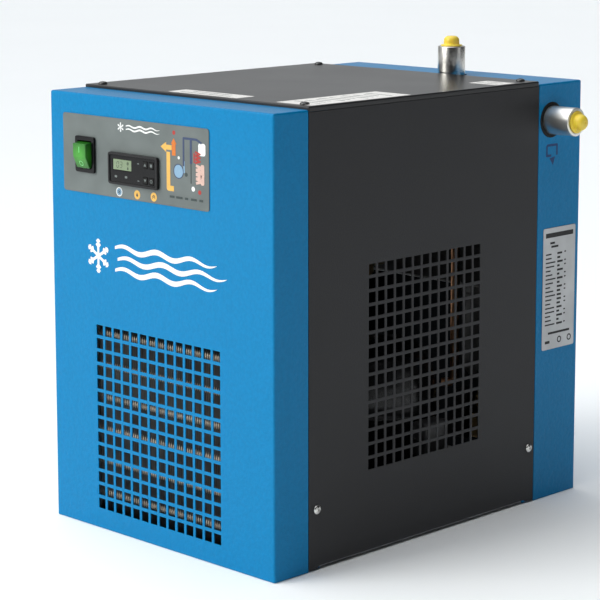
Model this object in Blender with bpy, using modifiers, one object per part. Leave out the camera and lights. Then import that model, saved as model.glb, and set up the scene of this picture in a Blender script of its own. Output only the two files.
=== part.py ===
"""Refrigerated compressed-air dryer, as an assembly of separate named pieces.

Metres, +Z up. The origin is the centre of the underside, +X is the right side seen from the
front, and the control panel faces -Y. Two bent blue trays, one in front and one behind, are
closed by a black cover and two black side panels. Inside stand the condenser with its fan, the
hermetic compressor, the insulated heat exchanger with its moisture separator, and the drain.
"""
import math

import bmesh
import bpy
from mathutils import Matrix, Vector

# Driving dimensions.
WIDTH = 0.326
DEPTH = 0.464
HEIGHT = 0.450
FRONT_WRAP = 0.046
REAR_WRAP = 0.0716
SHEET = 0.0012
GAP = 0.0003
SEAM = 0.0008

# Planes of the casing.
RIGHT = WIDTH / 2
FRONT = -DEPTH / 2
BACK = DEPTH / 2
FRONT_SEAM = FRONT + FRONT_WRAP
REAR_SEAM = BACK - REAR_WRAP
COVER_RISE = 0.0032
COVER_LIP = 0.005
COVER_TOP = HEIGHT + COVER_RISE
COVER_FOOT = COVER_TOP - COVER_LIP
LIP = 0.0015
LIP_REACH = 0.017
LIP_OUTSIDE = RIGHT - SHEET - GAP
LIP_INSIDE = LIP_OUTSIDE - LIP
LIP_OVERLAP = 0.018
PANEL_FOOT = 0.0012
PANEL_RELIEF = 0.0036
PANEL_TAB = 0.012

# Perforations: columns, rows, pitch across, pitch up, hole width, hole height, centre.
HOLE_SHARE = 0.75
FRONT_GRILLE = {"columns": 14, "rows": 14, "across": 0.01336, "up": 0.01406, "centre": (-0.003, 0.1175)}
SIDE_GRILLE = {"columns": 13, "rows": 15, "across": 0.01318, "up": 0.01399, "centre": (-0.0172, 0.1890)}

# Controls on the front face.
DECAL_LOW = (-0.1418, 0.3490)
DECAL_HIGH = (0.0762, 0.4289)
DECAL_THICK = 0.0005
SWITCH_CENTRE = (-0.1054, 0.3886)
SWITCH_BEZEL = (0.0296, 0.0368)
SWITCH_BARREL = (0.0236, 0.0302)
ROCKER_SIZE = (0.0200, 0.0260)
ROCKER_TILT = math.radians(12)
ROCKER_AXIS_Y = FRONT - 0.002
CONTROLLER_CENTRE = (-0.0312, 0.3791)
CONTROLLER_BEZEL = (0.0738, 0.0322)
CONTROLLER_BARREL = (0.0704, 0.0288)
CONTROLLER_DEPTH = 0.055
CONTROLLER_RIM = 0.0025
WINDOW_CENTRE = (-0.0473, 0.3832)
WINDOW_SIZE = (0.0280, 0.0112)
KEY_SIZE = 0.0064
KEY_COLUMNS = (-0.0121, -0.0031)
KEY_ROWS = (0.3864, 0.3708)
CUTOUT_PLAY = 0.0004

# Air sockets.
SOCKET_RADIUS = 0.015
SOCKET_BORE = 0.010
SOCKET_MOUTH = 0.0122
SOCKET_BORE_DEPTH = 0.026
SOCKET_HOLE = 0.017
SOCKET_Y = 0.1812
SIDE_SOCKET_Z = 0.411
SIDE_SOCKET_END = RIGHT + 0.033
TOP_SOCKET_X = 0.0235
TOP_SOCKET_END = HEIGHT + 0.0315

# Fasteners.
SCREW_SHANK = 0.002
SCREW_HOLE = 0.0023
SCREW_HEAD = 0.0047
SIDE_SCREWS = ((-0.1746, 0.0608), (0.1503, 0.0603))
COVER_SCREWS = ((0.147, -0.1745), (0.147, 0.1480))

# Refrigeration pieces.
FLOOR = 0.0015
CORE_LOW = (-0.103, -0.224, 0.0018)
CORE_HIGH = (0.097, -0.202, 0.218)
COIL_RUNS = 6
COIL_PITCH = 0.0337
COIL_START_Z = 0.0355
COIL_Y = -0.218
COIL_RADIUS = 0.005
COIL_LEFT = -0.116
COIL_TAIL = 0.0235
COIL_BEND = 0.008
FAN_CENTRE = (-0.003, 0.116)
FAN_OPENING = 0.084
FAN_RADIUS = 0.080
FAN_BLADES = 5
HUB_RADIUS = 0.021
FAN_SHAFT = 0.003
MOTOR_RADIUS = 0.038
COMPRESSOR = (0.040, 0.032)
SHELL_RADIUS = 0.073
EXCHANGER_LOW = (-0.0627, 0.1438, 0.2278)
EXCHANGER_HIGH = (0.1067, 0.2142, 0.4272)
FOAM = 0.012
SEPARATOR = (0.080, 0.181)
SEPARATOR_RADIUS = 0.030
DRAIN_AXIS_Z = 0.066
ARMATURE = 0.0075
GLAND = (-0.100, 0.060)
RISER = (-0.116, -0.080)
LINE_BEND = 0.012


def clear_scene():
    """Empty the scene, so that the part is built from nothing."""
    for obj in list(bpy.data.objects):
        bpy.data.objects.remove(obj, do_unlink=True)
    for group in list(bpy.data.collections):
        bpy.data.collections.remove(group)


def new_collection(name):
    """A collection under the scene."""
    group = bpy.data.collections.new(name)
    bpy.context.scene.collection.children.link(group)
    return group


clear_scene()
PARTS = new_collection("air_dryer")
CUTTERS = new_collection("cutters")


def material(name, colour, roughness, metallic=0.0):
    """A plain finish."""
    finish = bpy.data.materials.new(name)
    finish.use_nodes = True
    shader = finish.node_tree.nodes["Principled BSDF"]
    shader.inputs["Base Color"].default_value = (*colour, 1.0)
    shader.inputs["Roughness"].default_value = roughness
    shader.inputs["Metallic"].default_value = metallic
    return finish


BLUE = material("blue_paint", (0.03, 0.31, 0.66), 0.45)
BLACK = material("black_paint", (0.03, 0.03, 0.033), 0.45)
GALVANISED = material("galvanised_steel", (0.55, 0.56, 0.57), 0.4, 0.9)
STEEL = material("bright_steel", (0.62, 0.61, 0.57), 0.25, 1.0)
COPPER = material("copper", (0.72, 0.36, 0.20), 0.3, 1.0)
BRASS = material("brass", (0.70, 0.52, 0.25), 0.35, 1.0)
ALUMINIUM = material("aluminium", (0.70, 0.71, 0.72), 0.4, 1.0)
PLASTIC = material("black_plastic", (0.02, 0.02, 0.022), 0.4)
RUBBER = material("rubber", (0.025, 0.025, 0.025), 0.8)
FOAM_BLACK = material("foam", (0.03, 0.03, 0.03), 0.95)
GREY_FILM = material("grey_film", (0.24, 0.26, 0.26), 0.5)
SILVER_FILM = material("silver_film", (0.50, 0.52, 0.54), 0.35, 0.6)
GREEN = material("green_lens", (0.06, 0.45, 0.05), 0.2)
YELLOW = material("yellow_plastic", (0.80, 0.55, 0.03), 0.4)
WINDOW = material("display_window", (0.20, 0.26, 0.18), 0.1)


def add_object(name, mesh, finish, group=PARTS):
    """Link a mesh as a named object with its finish; a cutter is drawn as wire and not rendered."""
    obj = bpy.data.objects.new(name, mesh)
    group.objects.link(obj)
    if finish is not None:
        mesh.materials.append(finish)
    if group is CUTTERS:
        obj.hide_render = True
        obj.display_type = "WIRE"
    return obj


def finish_mesh(bm, name):
    """Turn a bmesh into a mesh."""
    mesh = bpy.data.meshes.new(name)
    bm.to_mesh(mesh)
    bm.free()
    return mesh


def block(name, low, high, finish=None, group=PARTS, bevel=0.0):
    """A box between two opposite corners, with its origin at its centre."""
    low = Vector(low)
    high = Vector(high)
    bm = bmesh.new()
    bmesh.ops.create_cube(bm, size=1.0)
    bmesh.ops.scale(bm, vec=high - low, verts=bm.verts)
    obj = add_object(name, finish_mesh(bm, name), finish, group)
    obj.location = (low + high) / 2
    if bevel:
        rounding = obj.modifiers.new("rounded_edges", "BEVEL")
        rounding.width = bevel
        rounding.segments = 2
        rounding.limit_method = "ANGLE"
    return obj


def rod(name, radius, start, end, finish=None, group=PARTS, sides=16):
    """A round bar between two points."""
    start = Vector(start)
    end = Vector(end)
    bm = bmesh.new()
    bmesh.ops.create_cone(
        bm, cap_ends=True, segments=sides, radius1=radius, radius2=radius, depth=(end - start).length
    )
    mesh = finish_mesh(bm, name)
    mesh.shade_smooth()
    mesh.set_sharp_from_angle(angle=math.radians(40))
    obj = add_object(name, mesh, finish, group)
    obj.location = (start + end) / 2
    obj.rotation_euler = (end - start).to_track_quat("Z", "Y").to_euler()
    return obj


def turned(name, profile, base, finish, axis=(0, 0, 1), ring=False, steps=24, group=PARTS):
    """A body of revolution about an axis through base; profile holds (radius, height) pairs.

    The profile runs down the outer side, top to bottom. A ring's profile is closed."""
    mesh = bpy.data.meshes.new(name)
    edges = [(i, i + 1) for i in range(len(profile) - 1)]
    if ring:
        edges.append((len(profile) - 1, 0))
    mesh.from_pydata([(radius, 0.0, height) for radius, height in profile], edges, [])
    obj = add_object(name, mesh, finish, group)
    obj.location = base
    obj.rotation_euler = Vector(axis).to_track_quat("Z", "Y").to_euler()
    screw = obj.modifiers.new("turned", "SCREW")
    screw.steps = steps
    screw.render_steps = steps
    screw.use_merge_vertices = True
    screw.merge_threshold = 0.00005
    screw.use_smooth_shade = True
    return obj


def bent(points, radius, steps=4):
    """A path of straight runs with a round bend at each corner."""
    points = [Vector(p) for p in points]
    path = [points[0]]
    for before, corner, after in zip(points, points[1:], points[2:]):
        arriving = (corner - before).normalized()
        leaving = (after - corner).normalized()
        turn = arriving.angle(leaving)
        setback = radius * math.tan(turn / 2)
        axis = arriving.cross(leaving).normalized()
        inward = axis.cross(arriving)
        centre = corner - arriving * setback + inward * radius
        for i in range(steps + 1):
            spun = Matrix.Rotation(turn * i / steps, 3, axis) @ -inward
            path.append(centre + spun * radius)
    path.append(points[-1])
    return path


def tube(name, path, radius, finish):
    """A round tube or wire along a path, with filled ends."""
    curve = bpy.data.curves.new(name, "CURVE")
    curve.dimensions = "3D"
    curve.bevel_depth = radius
    curve.bevel_resolution = 2
    curve.use_fill_caps = True
    spline = curve.splines.new("POLY")
    spline.points.add(len(path) - 1)
    for point, place in zip(spline.points, path):
        point.co = (*place, 1.0)
    obj = bpy.data.objects.new(name, curve)
    curve.materials.append(finish)
    PARTS.objects.link(obj)
    return obj


# Each plane's frame: the outline's first and second axes, and the direction of extrusion.
PLANES = {
    "XY": Matrix(((1, 0, 0), (0, 1, 0), (0, 0, 1))),
    "XZ": Matrix(((1, 0, 0), (0, 0, -1), (0, 1, 0))),
    "YZ": Matrix(((0, 0, 1), (1, 0, 0), (0, 1, 0))),
}


def extruded(name, outline, plane, low, high, finish=None, group=PARTS, holes=()):
    """A flat outline in a plane, extruded between two heights on the plane's third axis."""
    curve = bpy.data.curves.new(name, "CURVE")
    curve.dimensions = "2D"
    curve.fill_mode = "BOTH"
    curve.extrude = (high - low) / 2
    for loop in (outline, *holes):
        spline = curve.splines.new("POLY")
        spline.points.add(len(loop) - 1)
        for point, (u, v) in zip(spline.points, loop):
            point.co = (u, v, 0.0, 1.0)
        spline.use_cyclic_u = True
    guide = bpy.data.objects.new(name + "_outline", curve)
    CUTTERS.objects.link(guide)
    middle = (high + low) / 2
    along = Vector(PLANES[plane].col[2])
    sign = -1.0 if plane == "XZ" else 1.0
    guide.matrix_world = Matrix.Translation(along * middle * sign) @ PLANES[plane].to_4x4()
    bpy.context.view_layer.update()
    evaluated = guide.evaluated_get(bpy.context.evaluated_depsgraph_get())
    mesh = bpy.data.meshes.new_from_object(evaluated)
    mesh.name = name
    place = guide.matrix_world.copy()
    bpy.data.objects.remove(guide, do_unlink=True)
    bm = bmesh.new()
    bm.from_mesh(mesh)
    bmesh.ops.remove_doubles(bm, verts=bm.verts, dist=0.00001)
    bmesh.ops.recalc_face_normals(bm, faces=bm.faces)
    bm.to_mesh(mesh)
    bm.free()
    mesh.materials.clear()
    obj = add_object(name, mesh, finish, group)
    obj.matrix_world = place
    return obj


def boolean(target, operation, others):
    """Cut, or join, each of the other objects from, or to, the target."""
    for other in others:
        step = target.modifiers.new(operation.lower() + "_" + other.name, "BOOLEAN")
        step.operation = operation
        step.object = other
        step.solver = "EXACT"
    return target


def cut(target, *others):
    return boolean(target, "DIFFERENCE", others)


def join(target, *others):
    return boolean(target, "UNION", others)


def hole_grid(name, grille, plane, low, high):
    """A cutter of many square bars, one for each hole of a perforated area."""
    bm = bmesh.new()
    across = grille["across"]
    up = grille["up"]
    along = (low + high) / 2
    for column in range(grille["columns"]):
        for row in range(grille["rows"]):
            u = grille["centre"][0] + (column - (grille["columns"] - 1) / 2) * across
            v = grille["centre"][1] + (row - (grille["rows"] - 1) / 2) * up
            if plane == "XZ":
                place = Vector((u, along, v))
                size = Vector((across * HOLE_SHARE, high - low, up * HOLE_SHARE))
            else:
                place = Vector((along, u, v))
                size = Vector((high - low, across * HOLE_SHARE, up * HOLE_SHARE))
            matrix = Matrix.Translation(place) @ Matrix.Diagonal((*size, 1.0))
            bmesh.ops.create_cube(bm, size=1.0, matrix=matrix)
    return add_object(name, finish_mesh(bm, name), None, CUTTERS)


def rectangle(centre, size):
    """The corners of an upright rectangle."""
    left = centre[0] - size[0] / 2
    right = centre[0] + size[0] / 2
    bottom = centre[1] - size[1] / 2
    top = centre[1] + size[1] / 2
    return [(left, bottom), (right, bottom), (right, top), (left, top)]


def arc(centre, radius, start, end, steps=3):
    """Points along a round stretch, angles in degrees."""
    angles = [math.radians(start + (end - start) * i / steps) for i in range(steps + 1)]
    return [(centre[0] + radius * math.cos(a), centre[1] + radius * math.sin(a)) for a in angles]


def window_cutter(name, centre, size, low, high):
    """A cutter for an opening in the front face."""
    half = (size[0] / 2, size[1] / 2)
    return block(
        name,
        (centre[0] - half[0], low, centre[1] - half[1]),
        (centre[0] + half[0], high, centre[1] + half[1]),
        group=CUTTERS,
    )


# ---------------------------------------------------------------- casing


def tray_outline(sign, face, seam):
    """The plan of a bent tray: a flat face, two corners bent round, two flanges and joggled lips.

    sign is -1 for the tray in front and +1 for the tray behind."""
    corner = 0.002
    lip_end = seam - sign * LIP_REACH
    overlap = seam + sign * LIP_OVERLAP
    inner_face = face - sign * SHEET
    bend = arc((RIGHT - corner, face - sign * corner), corner, 0, sign * 90)
    side = [
        (RIGHT - SHEET, inner_face),
        (RIGHT - SHEET, overlap),
        (LIP_INSIDE, overlap),
        (LIP_INSIDE, lip_end),
        (LIP_OUTSIDE, lip_end),
        (LIP_OUTSIDE, seam),
        (RIGHT, seam),
    ]
    right = side + bend
    left = [(-x, y) for x, y in reversed(right)]
    return right + left


def tray_top(name, sign, face, seam):
    """The tray's top flange, with a joggled lip that reaches under the cover."""
    flange_low = HEIGHT - SHEET
    lip_high = COVER_FOOT - 0.0005
    lip_low = lip_high - LIP
    flange = block(
        name + "_flange",
        (-RIGHT + 0.0006, min(face - sign * 0.0006, seam), flange_low),
        (RIGHT - 0.0006, max(face - sign * 0.0006, seam), HEIGHT),
        group=CUTTERS,
    )
    overlap = seam + sign * LIP_OVERLAP
    lip_end = seam - sign * LIP_REACH
    profile = [
        (overlap, lip_low),
        (lip_end, lip_low),
        (lip_end, lip_high),
        (seam + sign * 0.0005, lip_high),
        (seam + sign * 0.0005, flange_low + 0.0006),
        (overlap, flange_low + 0.0006),
    ]
    lip = extruded(name + "_lip", profile, "YZ", -0.150, 0.150, group=CUTTERS)
    return flange, lip


def lip_notch(name, sign, seam):
    """A cutter that ends the side lips below the cover's own lips."""
    near = seam - sign * GAP
    far = seam - sign * (LIP_REACH + 0.010)
    low = (-LIP_OUTSIDE - GAP / 2, min(near, far), COVER_FOOT - 0.0005)
    high = (LIP_OUTSIDE + GAP / 2, max(near, far), COVER_TOP)
    return block(name, low, high, group=CUTTERS)


def screw_holes(sign):
    """Cutters for the screws that pass through the side panels' and the cover's lips."""
    row = 0 if sign < 0 else 1
    y, z = SIDE_SCREWS[row]
    holes = []
    for side in (-1, 1):
        side_name = "right" if side > 0 else "left"
        name = f"hole_side_{side_name}_{row}"
        start = (side * 0.157, y, z)
        end = (side * 0.167, y, z)
        holes.append(rod(name, SCREW_HOLE, start, end, group=CUTTERS, sides=8))
        x, top_y = COVER_SCREWS[row]
        name = f"hole_cover_{side_name}_{row}"
        start = (side * x, top_y, COVER_FOOT - 0.008)
        end = (side * x, top_y, COVER_TOP + 0.002)
        holes.append(rod(name, SCREW_HOLE, start, end, group=CUTTERS, sides=8))
    return holes


def make_front_panel(holes):
    """The blue tray in front, perforated for the condenser and cut out for the controls."""
    panel = extruded("front_panel", tray_outline(-1, FRONT, FRONT_SEAM), "XY", 0.0, HEIGHT - 0.0006, BLUE)
    join(panel, *tray_top("front_top", -1, FRONT, FRONT_SEAM))
    low = FRONT - 0.002
    high = FRONT + 0.004
    grille = hole_grid("front_grille_holes", FRONT_GRILLE, "XZ", low, high)
    switch_size = [s + 2 * CUTOUT_PLAY for s in SWITCH_BARREL]
    controller_size = [s + 2 * CUTOUT_PLAY for s in CONTROLLER_BARREL]
    switch = window_cutter("switch_cutout", SWITCH_CENTRE, switch_size, low, high)
    controller = window_cutter("controller_cutout", CONTROLLER_CENTRE, controller_size, low, high)
    return cut(panel, lip_notch("front_notch", -1, FRONT_SEAM), grille, switch, controller, *holes)


def make_rear_panel(holes):
    """The blue tray behind, with holes for the air sockets, the drain and the cable gland."""
    panel = extruded("rear_panel", tray_outline(1, BACK, REAR_SEAM), "XY", 0.0, HEIGHT - 0.0006, BLUE)
    join(panel, *tray_top("rear_top", 1, BACK, REAR_SEAM))
    side_start = (LIP_INSIDE - 0.002, SOCKET_Y, SIDE_SOCKET_Z)
    side_end = (RIGHT + 0.004, SOCKET_Y, SIDE_SOCKET_Z)
    side_hole = rod("side_socket_hole", SOCKET_HOLE, side_start, side_end, group=CUTTERS, sides=28)
    top_start = (TOP_SOCKET_X, SOCKET_Y, HEIGHT - 0.010)
    top_end = (TOP_SOCKET_X, SOCKET_Y, HEIGHT + 0.004)
    top_hole = rod("top_socket_hole", SOCKET_HOLE, top_start, top_end, group=CUTTERS, sides=28)
    drain = rod(
        "drain_hole",
        0.0075,
        (SEPARATOR[0], BACK - 0.004, DRAIN_AXIS_Z),
        (SEPARATOR[0], BACK + 0.004, DRAIN_AXIS_Z),
        group=CUTTERS,
    )
    gland = rod(
        "gland_hole",
        0.0085,
        (GLAND[0], BACK - 0.004, GLAND[1]),
        (GLAND[0], BACK + 0.004, GLAND[1]),
        group=CUTTERS,
    )
    return cut(panel, lip_notch("rear_notch", 1, REAR_SEAM), side_hole, top_hole, drain, gland, *holes)


def make_top_cover(holes):
    """The black cover: a shallow lid that stands a little above the trays."""
    front = FRONT_SEAM + SEAM
    rear = REAR_SEAM - SEAM
    cover = block("top_cover", (-RIGHT, front, COVER_FOOT), (RIGHT, rear, COVER_TOP), BLACK)
    inside = block(
        "cover_inside",
        (-RIGHT + SHEET, front + SHEET, COVER_FOOT - 0.010),
        (RIGHT - SHEET, rear - SHEET, COVER_TOP - SHEET),
        group=CUTTERS,
    )
    return cut(cover, inside, *holes)


def make_side_panel(name, side, holes):
    """A flat black panel with a perforated area and a low relief along its bottom edge."""
    front = FRONT_SEAM + SEAM
    rear = REAR_SEAM - SEAM
    outside = side * RIGHT
    inside = side * (RIGHT - SHEET)
    outline = [
        (front, PANEL_FOOT),
        (front + PANEL_TAB, PANEL_FOOT),
        (front + PANEL_TAB + 0.003, PANEL_RELIEF),
        (rear - PANEL_TAB - 0.003, PANEL_RELIEF),
        (rear - PANEL_TAB, PANEL_FOOT),
        (rear, PANEL_FOOT),
        (rear, COVER_FOOT - GAP),
        (front, COVER_FOOT - GAP),
    ]
    panel = extruded(name, outline, "YZ", min(inside, outside), max(inside, outside), BLACK)
    reach = 0.003
    low = min(inside, outside) - reach
    high = max(inside, outside) + reach
    grille = hole_grid(name + "_holes", SIDE_GRILLE, "YZ", low, high)
    return cut(panel, grille, *holes)


def make_base_plate():
    """The floor of the casing, bent up all round."""
    edge_x = LIP_INSIDE - GAP
    edge_y = BACK - SHEET - GAP
    base = block("base_plate", (-edge_x, -edge_y, 0.0), (edge_x, edge_y, 0.014), GALVANISED)
    inside = block(
        "base_inside",
        (-edge_x + FLOOR, -edge_y + FLOOR, FLOOR),
        (edge_x - FLOOR, edge_y - FLOOR, 0.030),
        group=CUTTERS,
    )
    return cut(base, inside)


def screw(name, head, direction, length):
    """A pan-head screw: its origin is under the head."""
    profile = [
        (0.0, 0.0025),
        (0.0034, 0.0019),
        (SCREW_HEAD, 0.0),
        (SCREW_SHANK, 0.0),
        (SCREW_SHANK, -length + 0.002),
        (0.0, -length),
    ]
    return turned(name, profile, head, STEEL, axis=direction, steps=10)


def make_screws():
    """Two bright screws low on each side, and four on the cover."""
    for row, (y, z) in enumerate(SIDE_SCREWS):
        end = "front" if row == 0 else "rear"
        for side, side_name in ((1, "right"), (-1, "left")):
            head = (side * (RIGHT + GAP), y, z)
            screw(f"side_screw_{side_name}_{end}", head, (side, 0, 0), 0.009)
    for row, (x, y) in enumerate(COVER_SCREWS):
        end = "front" if row == 0 else "rear"
        for side, side_name in ((1, "right"), (-1, "left")):
            head = (side * x, y, COVER_TOP + GAP)
            screw(f"cover_screw_{side_name}_{end}", head, (0, 0, 1), 0.009)


# ---------------------------------------------------------------- controls


def make_decal():
    """The thin control label, cut out round the switch and the controller."""
    holes = (
        rectangle(SWITCH_CENTRE, [s + 2 * CUTOUT_PLAY for s in SWITCH_BARREL]),
        rectangle(CONTROLLER_CENTRE, [s + 2 * CUTOUT_PLAY for s in CONTROLLER_BARREL]),
    )
    outline = [DECAL_LOW, (DECAL_HIGH[0], DECAL_LOW[1]), DECAL_HIGH, (DECAL_LOW[0], DECAL_HIGH[1])]
    back = FRONT - GAP
    return extruded("control_decal", outline, "XZ", back - DECAL_THICK, back, GREY_FILM, holes=holes)


def make_switch():
    """The rocker switch: a housing with a bezel and a cavity, and the rocker in it."""
    bezel_back = FRONT - GAP - DECAL_THICK - GAP
    bezel_front = bezel_back - 0.0025
    x, z = SWITCH_CENTRE
    half = (SWITCH_BEZEL[0] / 2, SWITCH_BEZEL[1] / 2)
    housing = block(
        "switch_housing",
        (x - half[0], bezel_front, z - half[1]),
        (x + half[0], bezel_back, z + half[1]),
        PLASTIC,
        bevel=0.0008,
    )
    barrel = window_cutter("switch_barrel", SWITCH_CENTRE, SWITCH_BARREL, bezel_back - 0.001, FRONT + 0.024)
    cavity_size = (ROCKER_SIZE[0] + 0.0012, ROCKER_SIZE[1] + 0.0018)
    cavity = window_cutter("switch_cavity", SWITCH_CENTRE, cavity_size, bezel_front - 0.002, FRONT + 0.0095)
    join(housing, barrel)
    cut(housing, cavity)

    ridge = 0.0090
    half_height = ROCKER_SIZE[1] / 2
    tip = ridge - half_height * math.tan(ROCKER_TILT)
    # The profile holds distances forward of the pivot and above it, before the rocker is tilted.
    upright = [
        (ridge, 0.0),
        (tip, half_height),
        (0.0, half_height),
        (-0.0050, half_height - 0.0009),
        (-0.0080, 0.0050),
        (-0.0080, -0.0050),
        (-0.0050, -half_height + 0.0009),
        (0.0, -half_height),
        (tip, -half_height),
    ]
    # At rest the lower half is pressed in, so that the upper half stands parallel to the panel.
    tilt = ROCKER_TILT
    outline = []
    for forward, up in upright:
        tilted_forward = forward * math.cos(tilt) + up * math.sin(tilt)
        tilted_up = up * math.cos(tilt) - forward * math.sin(tilt)
        outline.append((-tilted_forward, tilted_up))
    rocker = extruded("switch_rocker", outline, "YZ", -ROCKER_SIZE[0] / 2, ROCKER_SIZE[0] / 2, GREEN)
    rocker.matrix_world = Matrix.Translation((x, ROCKER_AXIS_Y, z)) @ rocker.matrix_world


def make_controller():
    """The electronic controller: a bezel and barrel with a window and four key pockets."""
    bezel_back = FRONT - GAP - DECAL_THICK - GAP
    bezel_front = bezel_back - 0.0036
    face = bezel_front + 0.0010
    x, z = CONTROLLER_CENTRE
    half = (CONTROLLER_BEZEL[0] / 2, CONTROLLER_BEZEL[1] / 2)
    housing = block(
        "controller_housing",
        (x - half[0], bezel_front, z - half[1]),
        (x + half[0], bezel_back, z + half[1]),
        PLASTIC,
        bevel=0.0008,
    )
    low = bezel_back - 0.001
    high = FRONT + CONTROLLER_DEPTH
    barrel = window_cutter("controller_barrel", CONTROLLER_CENTRE, CONTROLLER_BARREL, low, high)
    face_size = [s - 2 * CONTROLLER_RIM for s in CONTROLLER_BEZEL]
    recess = window_cutter("controller_recess", CONTROLLER_CENTRE, face_size, bezel_front - 0.002, face)
    window_floor = face + 0.0012
    window = window_cutter("window_recess", WINDOW_CENTRE, WINDOW_SIZE, bezel_front - 0.002, window_floor)
    join(housing, barrel)
    cut(housing, recess, window)
    half_lens = [s / 2 - GAP for s in WINDOW_SIZE]
    block(
        "display_lens",
        (WINDOW_CENTRE[0] - half_lens[0], face + GAP, WINDOW_CENTRE[1] - half_lens[1]),
        (WINDOW_CENTRE[0] + half_lens[0], window_floor - GAP, WINDOW_CENTRE[1] + half_lens[1]),
        WINDOW,
    )
    pocket_size = (KEY_SIZE + 2 * GAP, KEY_SIZE + 2 * GAP)
    half_key = KEY_SIZE / 2
    pocket_floor = face + 0.0040
    for row, key_z in zip(("upper", "lower"), KEY_ROWS):
        for column, key_x in zip(("left", "right"), KEY_COLUMNS):
            name = f"key_{row}_{column}"
            centre = (key_x, key_z)
            pocket = window_cutter(name + "_pocket", centre, pocket_size, bezel_front - 0.002, pocket_floor)
            cut(housing, pocket)
            block(
                name,
                (key_x - half_key, face - 0.0006, key_z - half_key),
                (key_x + half_key, pocket_floor - 0.0010, key_z + half_key),
                RUBBER,
                bevel=0.0005,
            )


def make_rating_plate():
    """The metal plate on the rear tray's right flange."""
    start = RIGHT + GAP
    return block("rating_plate", (start, 0.1701, 0.163), (start + 0.0005, 0.2250, 0.295), SILVER_FILM)


# ---------------------------------------------------------------- condenser and fan


def make_condenser():
    """A finned block and the serpentine tube that runs through it."""
    core = block("condenser_core", CORE_LOW, CORE_HIGH, ALUMINIUM)
    right_turn = CORE_HIGH[0] + 0.003
    left_turn = CORE_LOW[0] - 0.003
    bend = COIL_PITCH / 2
    tail_y = COIL_Y + COIL_TAIL
    inlet = [(COIL_LEFT, tail_y, COIL_START_Z), (COIL_LEFT, COIL_Y, COIL_START_Z), (0, COIL_Y, COIL_START_Z)]
    path = bent(inlet, COIL_BEND)[:-1]
    for run in range(COIL_RUNS):
        z = COIL_START_Z + run * COIL_PITCH
        start = (CORE_LOW[0] - 0.001, COIL_Y, z)
        end = (CORE_HIGH[0] + 0.001, COIL_Y, z)
        hole = rod(f"coil_hole_{run}", COIL_RADIUS + 0.0005, start, end, group=CUTTERS, sides=8)
        cut(core, hole)
        if run == COIL_RUNS - 1:
            break
        side = 1 if run % 2 == 0 else -1
        turn_x = right_turn if side > 0 else left_turn
        for x, up in arc((turn_x, z + bend), bend, -90, -90 + side * 180, 4):
            path.append(Vector((x, COIL_Y, up)))
    top = COIL_START_Z + (COIL_RUNS - 1) * COIL_PITCH
    path += bent([(0, COIL_Y, top), (COIL_LEFT, COIL_Y, top), (COIL_LEFT, tail_y, top)], COIL_BEND)[1:]
    tube("condenser_tube", path, COIL_RADIUS, COPPER)


def make_fan():
    """The shroud behind the condenser, the rotor in its opening, the motor and its strap."""
    x, z = FAN_CENTRE
    rear = -0.176
    front = CORE_HIGH[1] + 0.0005
    low = (CORE_LOW[0], front, 0.016)
    high = (CORE_HIGH[0], rear, 0.216)
    shroud = block("fan_shroud", low, high, GALVANISED)
    inside = block(
        "shroud_inside",
        (low[0] + SHEET, front - 0.010, low[2] + SHEET),
        (high[0] - SHEET, rear - SHEET, high[2] - SHEET),
        group=CUTTERS,
    )
    start = (x, rear - 0.006, z)
    end = (x, rear + 0.006, z)
    opening = rod("fan_opening", FAN_OPENING, start, end, group=CUTTERS, sides=32)
    cut(shroud, inside, opening)

    hub_back = -0.170
    hub_front = -0.187
    hub_length = hub_back - hub_front
    hub_profile = [(0.0, hub_length), (HUB_RADIUS - 0.004, hub_length), (HUB_RADIUS, hub_length - 0.003)]
    hub_profile += [(HUB_RADIUS, 0.0), (0.0, 0.0)]
    rotor = turned("fan_rotor", hub_profile, (x, hub_back, z), ALUMINIUM, axis=(0, -1, 0), steps=20)
    for number in range(FAN_BLADES):
        join(rotor, fan_blade(number, (x, (hub_back + hub_front) / 2, z)))
    bore_start = (x, hub_back - 0.011, z)
    bore_end = (x, hub_back + 0.001, z)
    cut(rotor, rod("hub_bore", FAN_SHAFT + GAP, bore_start, bore_end, group=CUTTERS, sides=10))

    motor_front = 0.047
    motor = [
        (0.0, motor_front + 0.013),
        (FAN_SHAFT, motor_front + 0.013),
        (FAN_SHAFT, motor_front),
        (0.016, motor_front),
        (0.018, motor_front - 0.005),
        (0.034, motor_front - 0.009),
        (MOTOR_RADIUS, motor_front - 0.013),
        (MOTOR_RADIUS, 0.013),
        (0.034, 0.009),
        (0.018, 0.004),
        (0.014, 0.0),
        (0.0, 0.0),
    ]
    turned("fan_motor", motor, (x, -0.1187, z), PLASTIC, axis=(0, -1, 0), steps=16)

    strap = 0.0016
    leg = 0.089
    back = -0.1168
    start = rear + GAP
    half = [
        (0.0, back),
        (leg, back),
        (leg, start + strap),
        (leg + 0.009, start + strap),
        (leg + 0.009, start),
        (leg - strap, start),
        (leg - strap, back - strap),
        (0.0, back - strap),
    ]
    mirrored = [(-u, v) for u, v in reversed(half[1:-1])]
    outline = [(x + u, v) for u, v in half + mirrored]
    extruded("fan_bracket", outline, "XY", z - 0.010, z + 0.010, GALVANISED)


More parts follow.
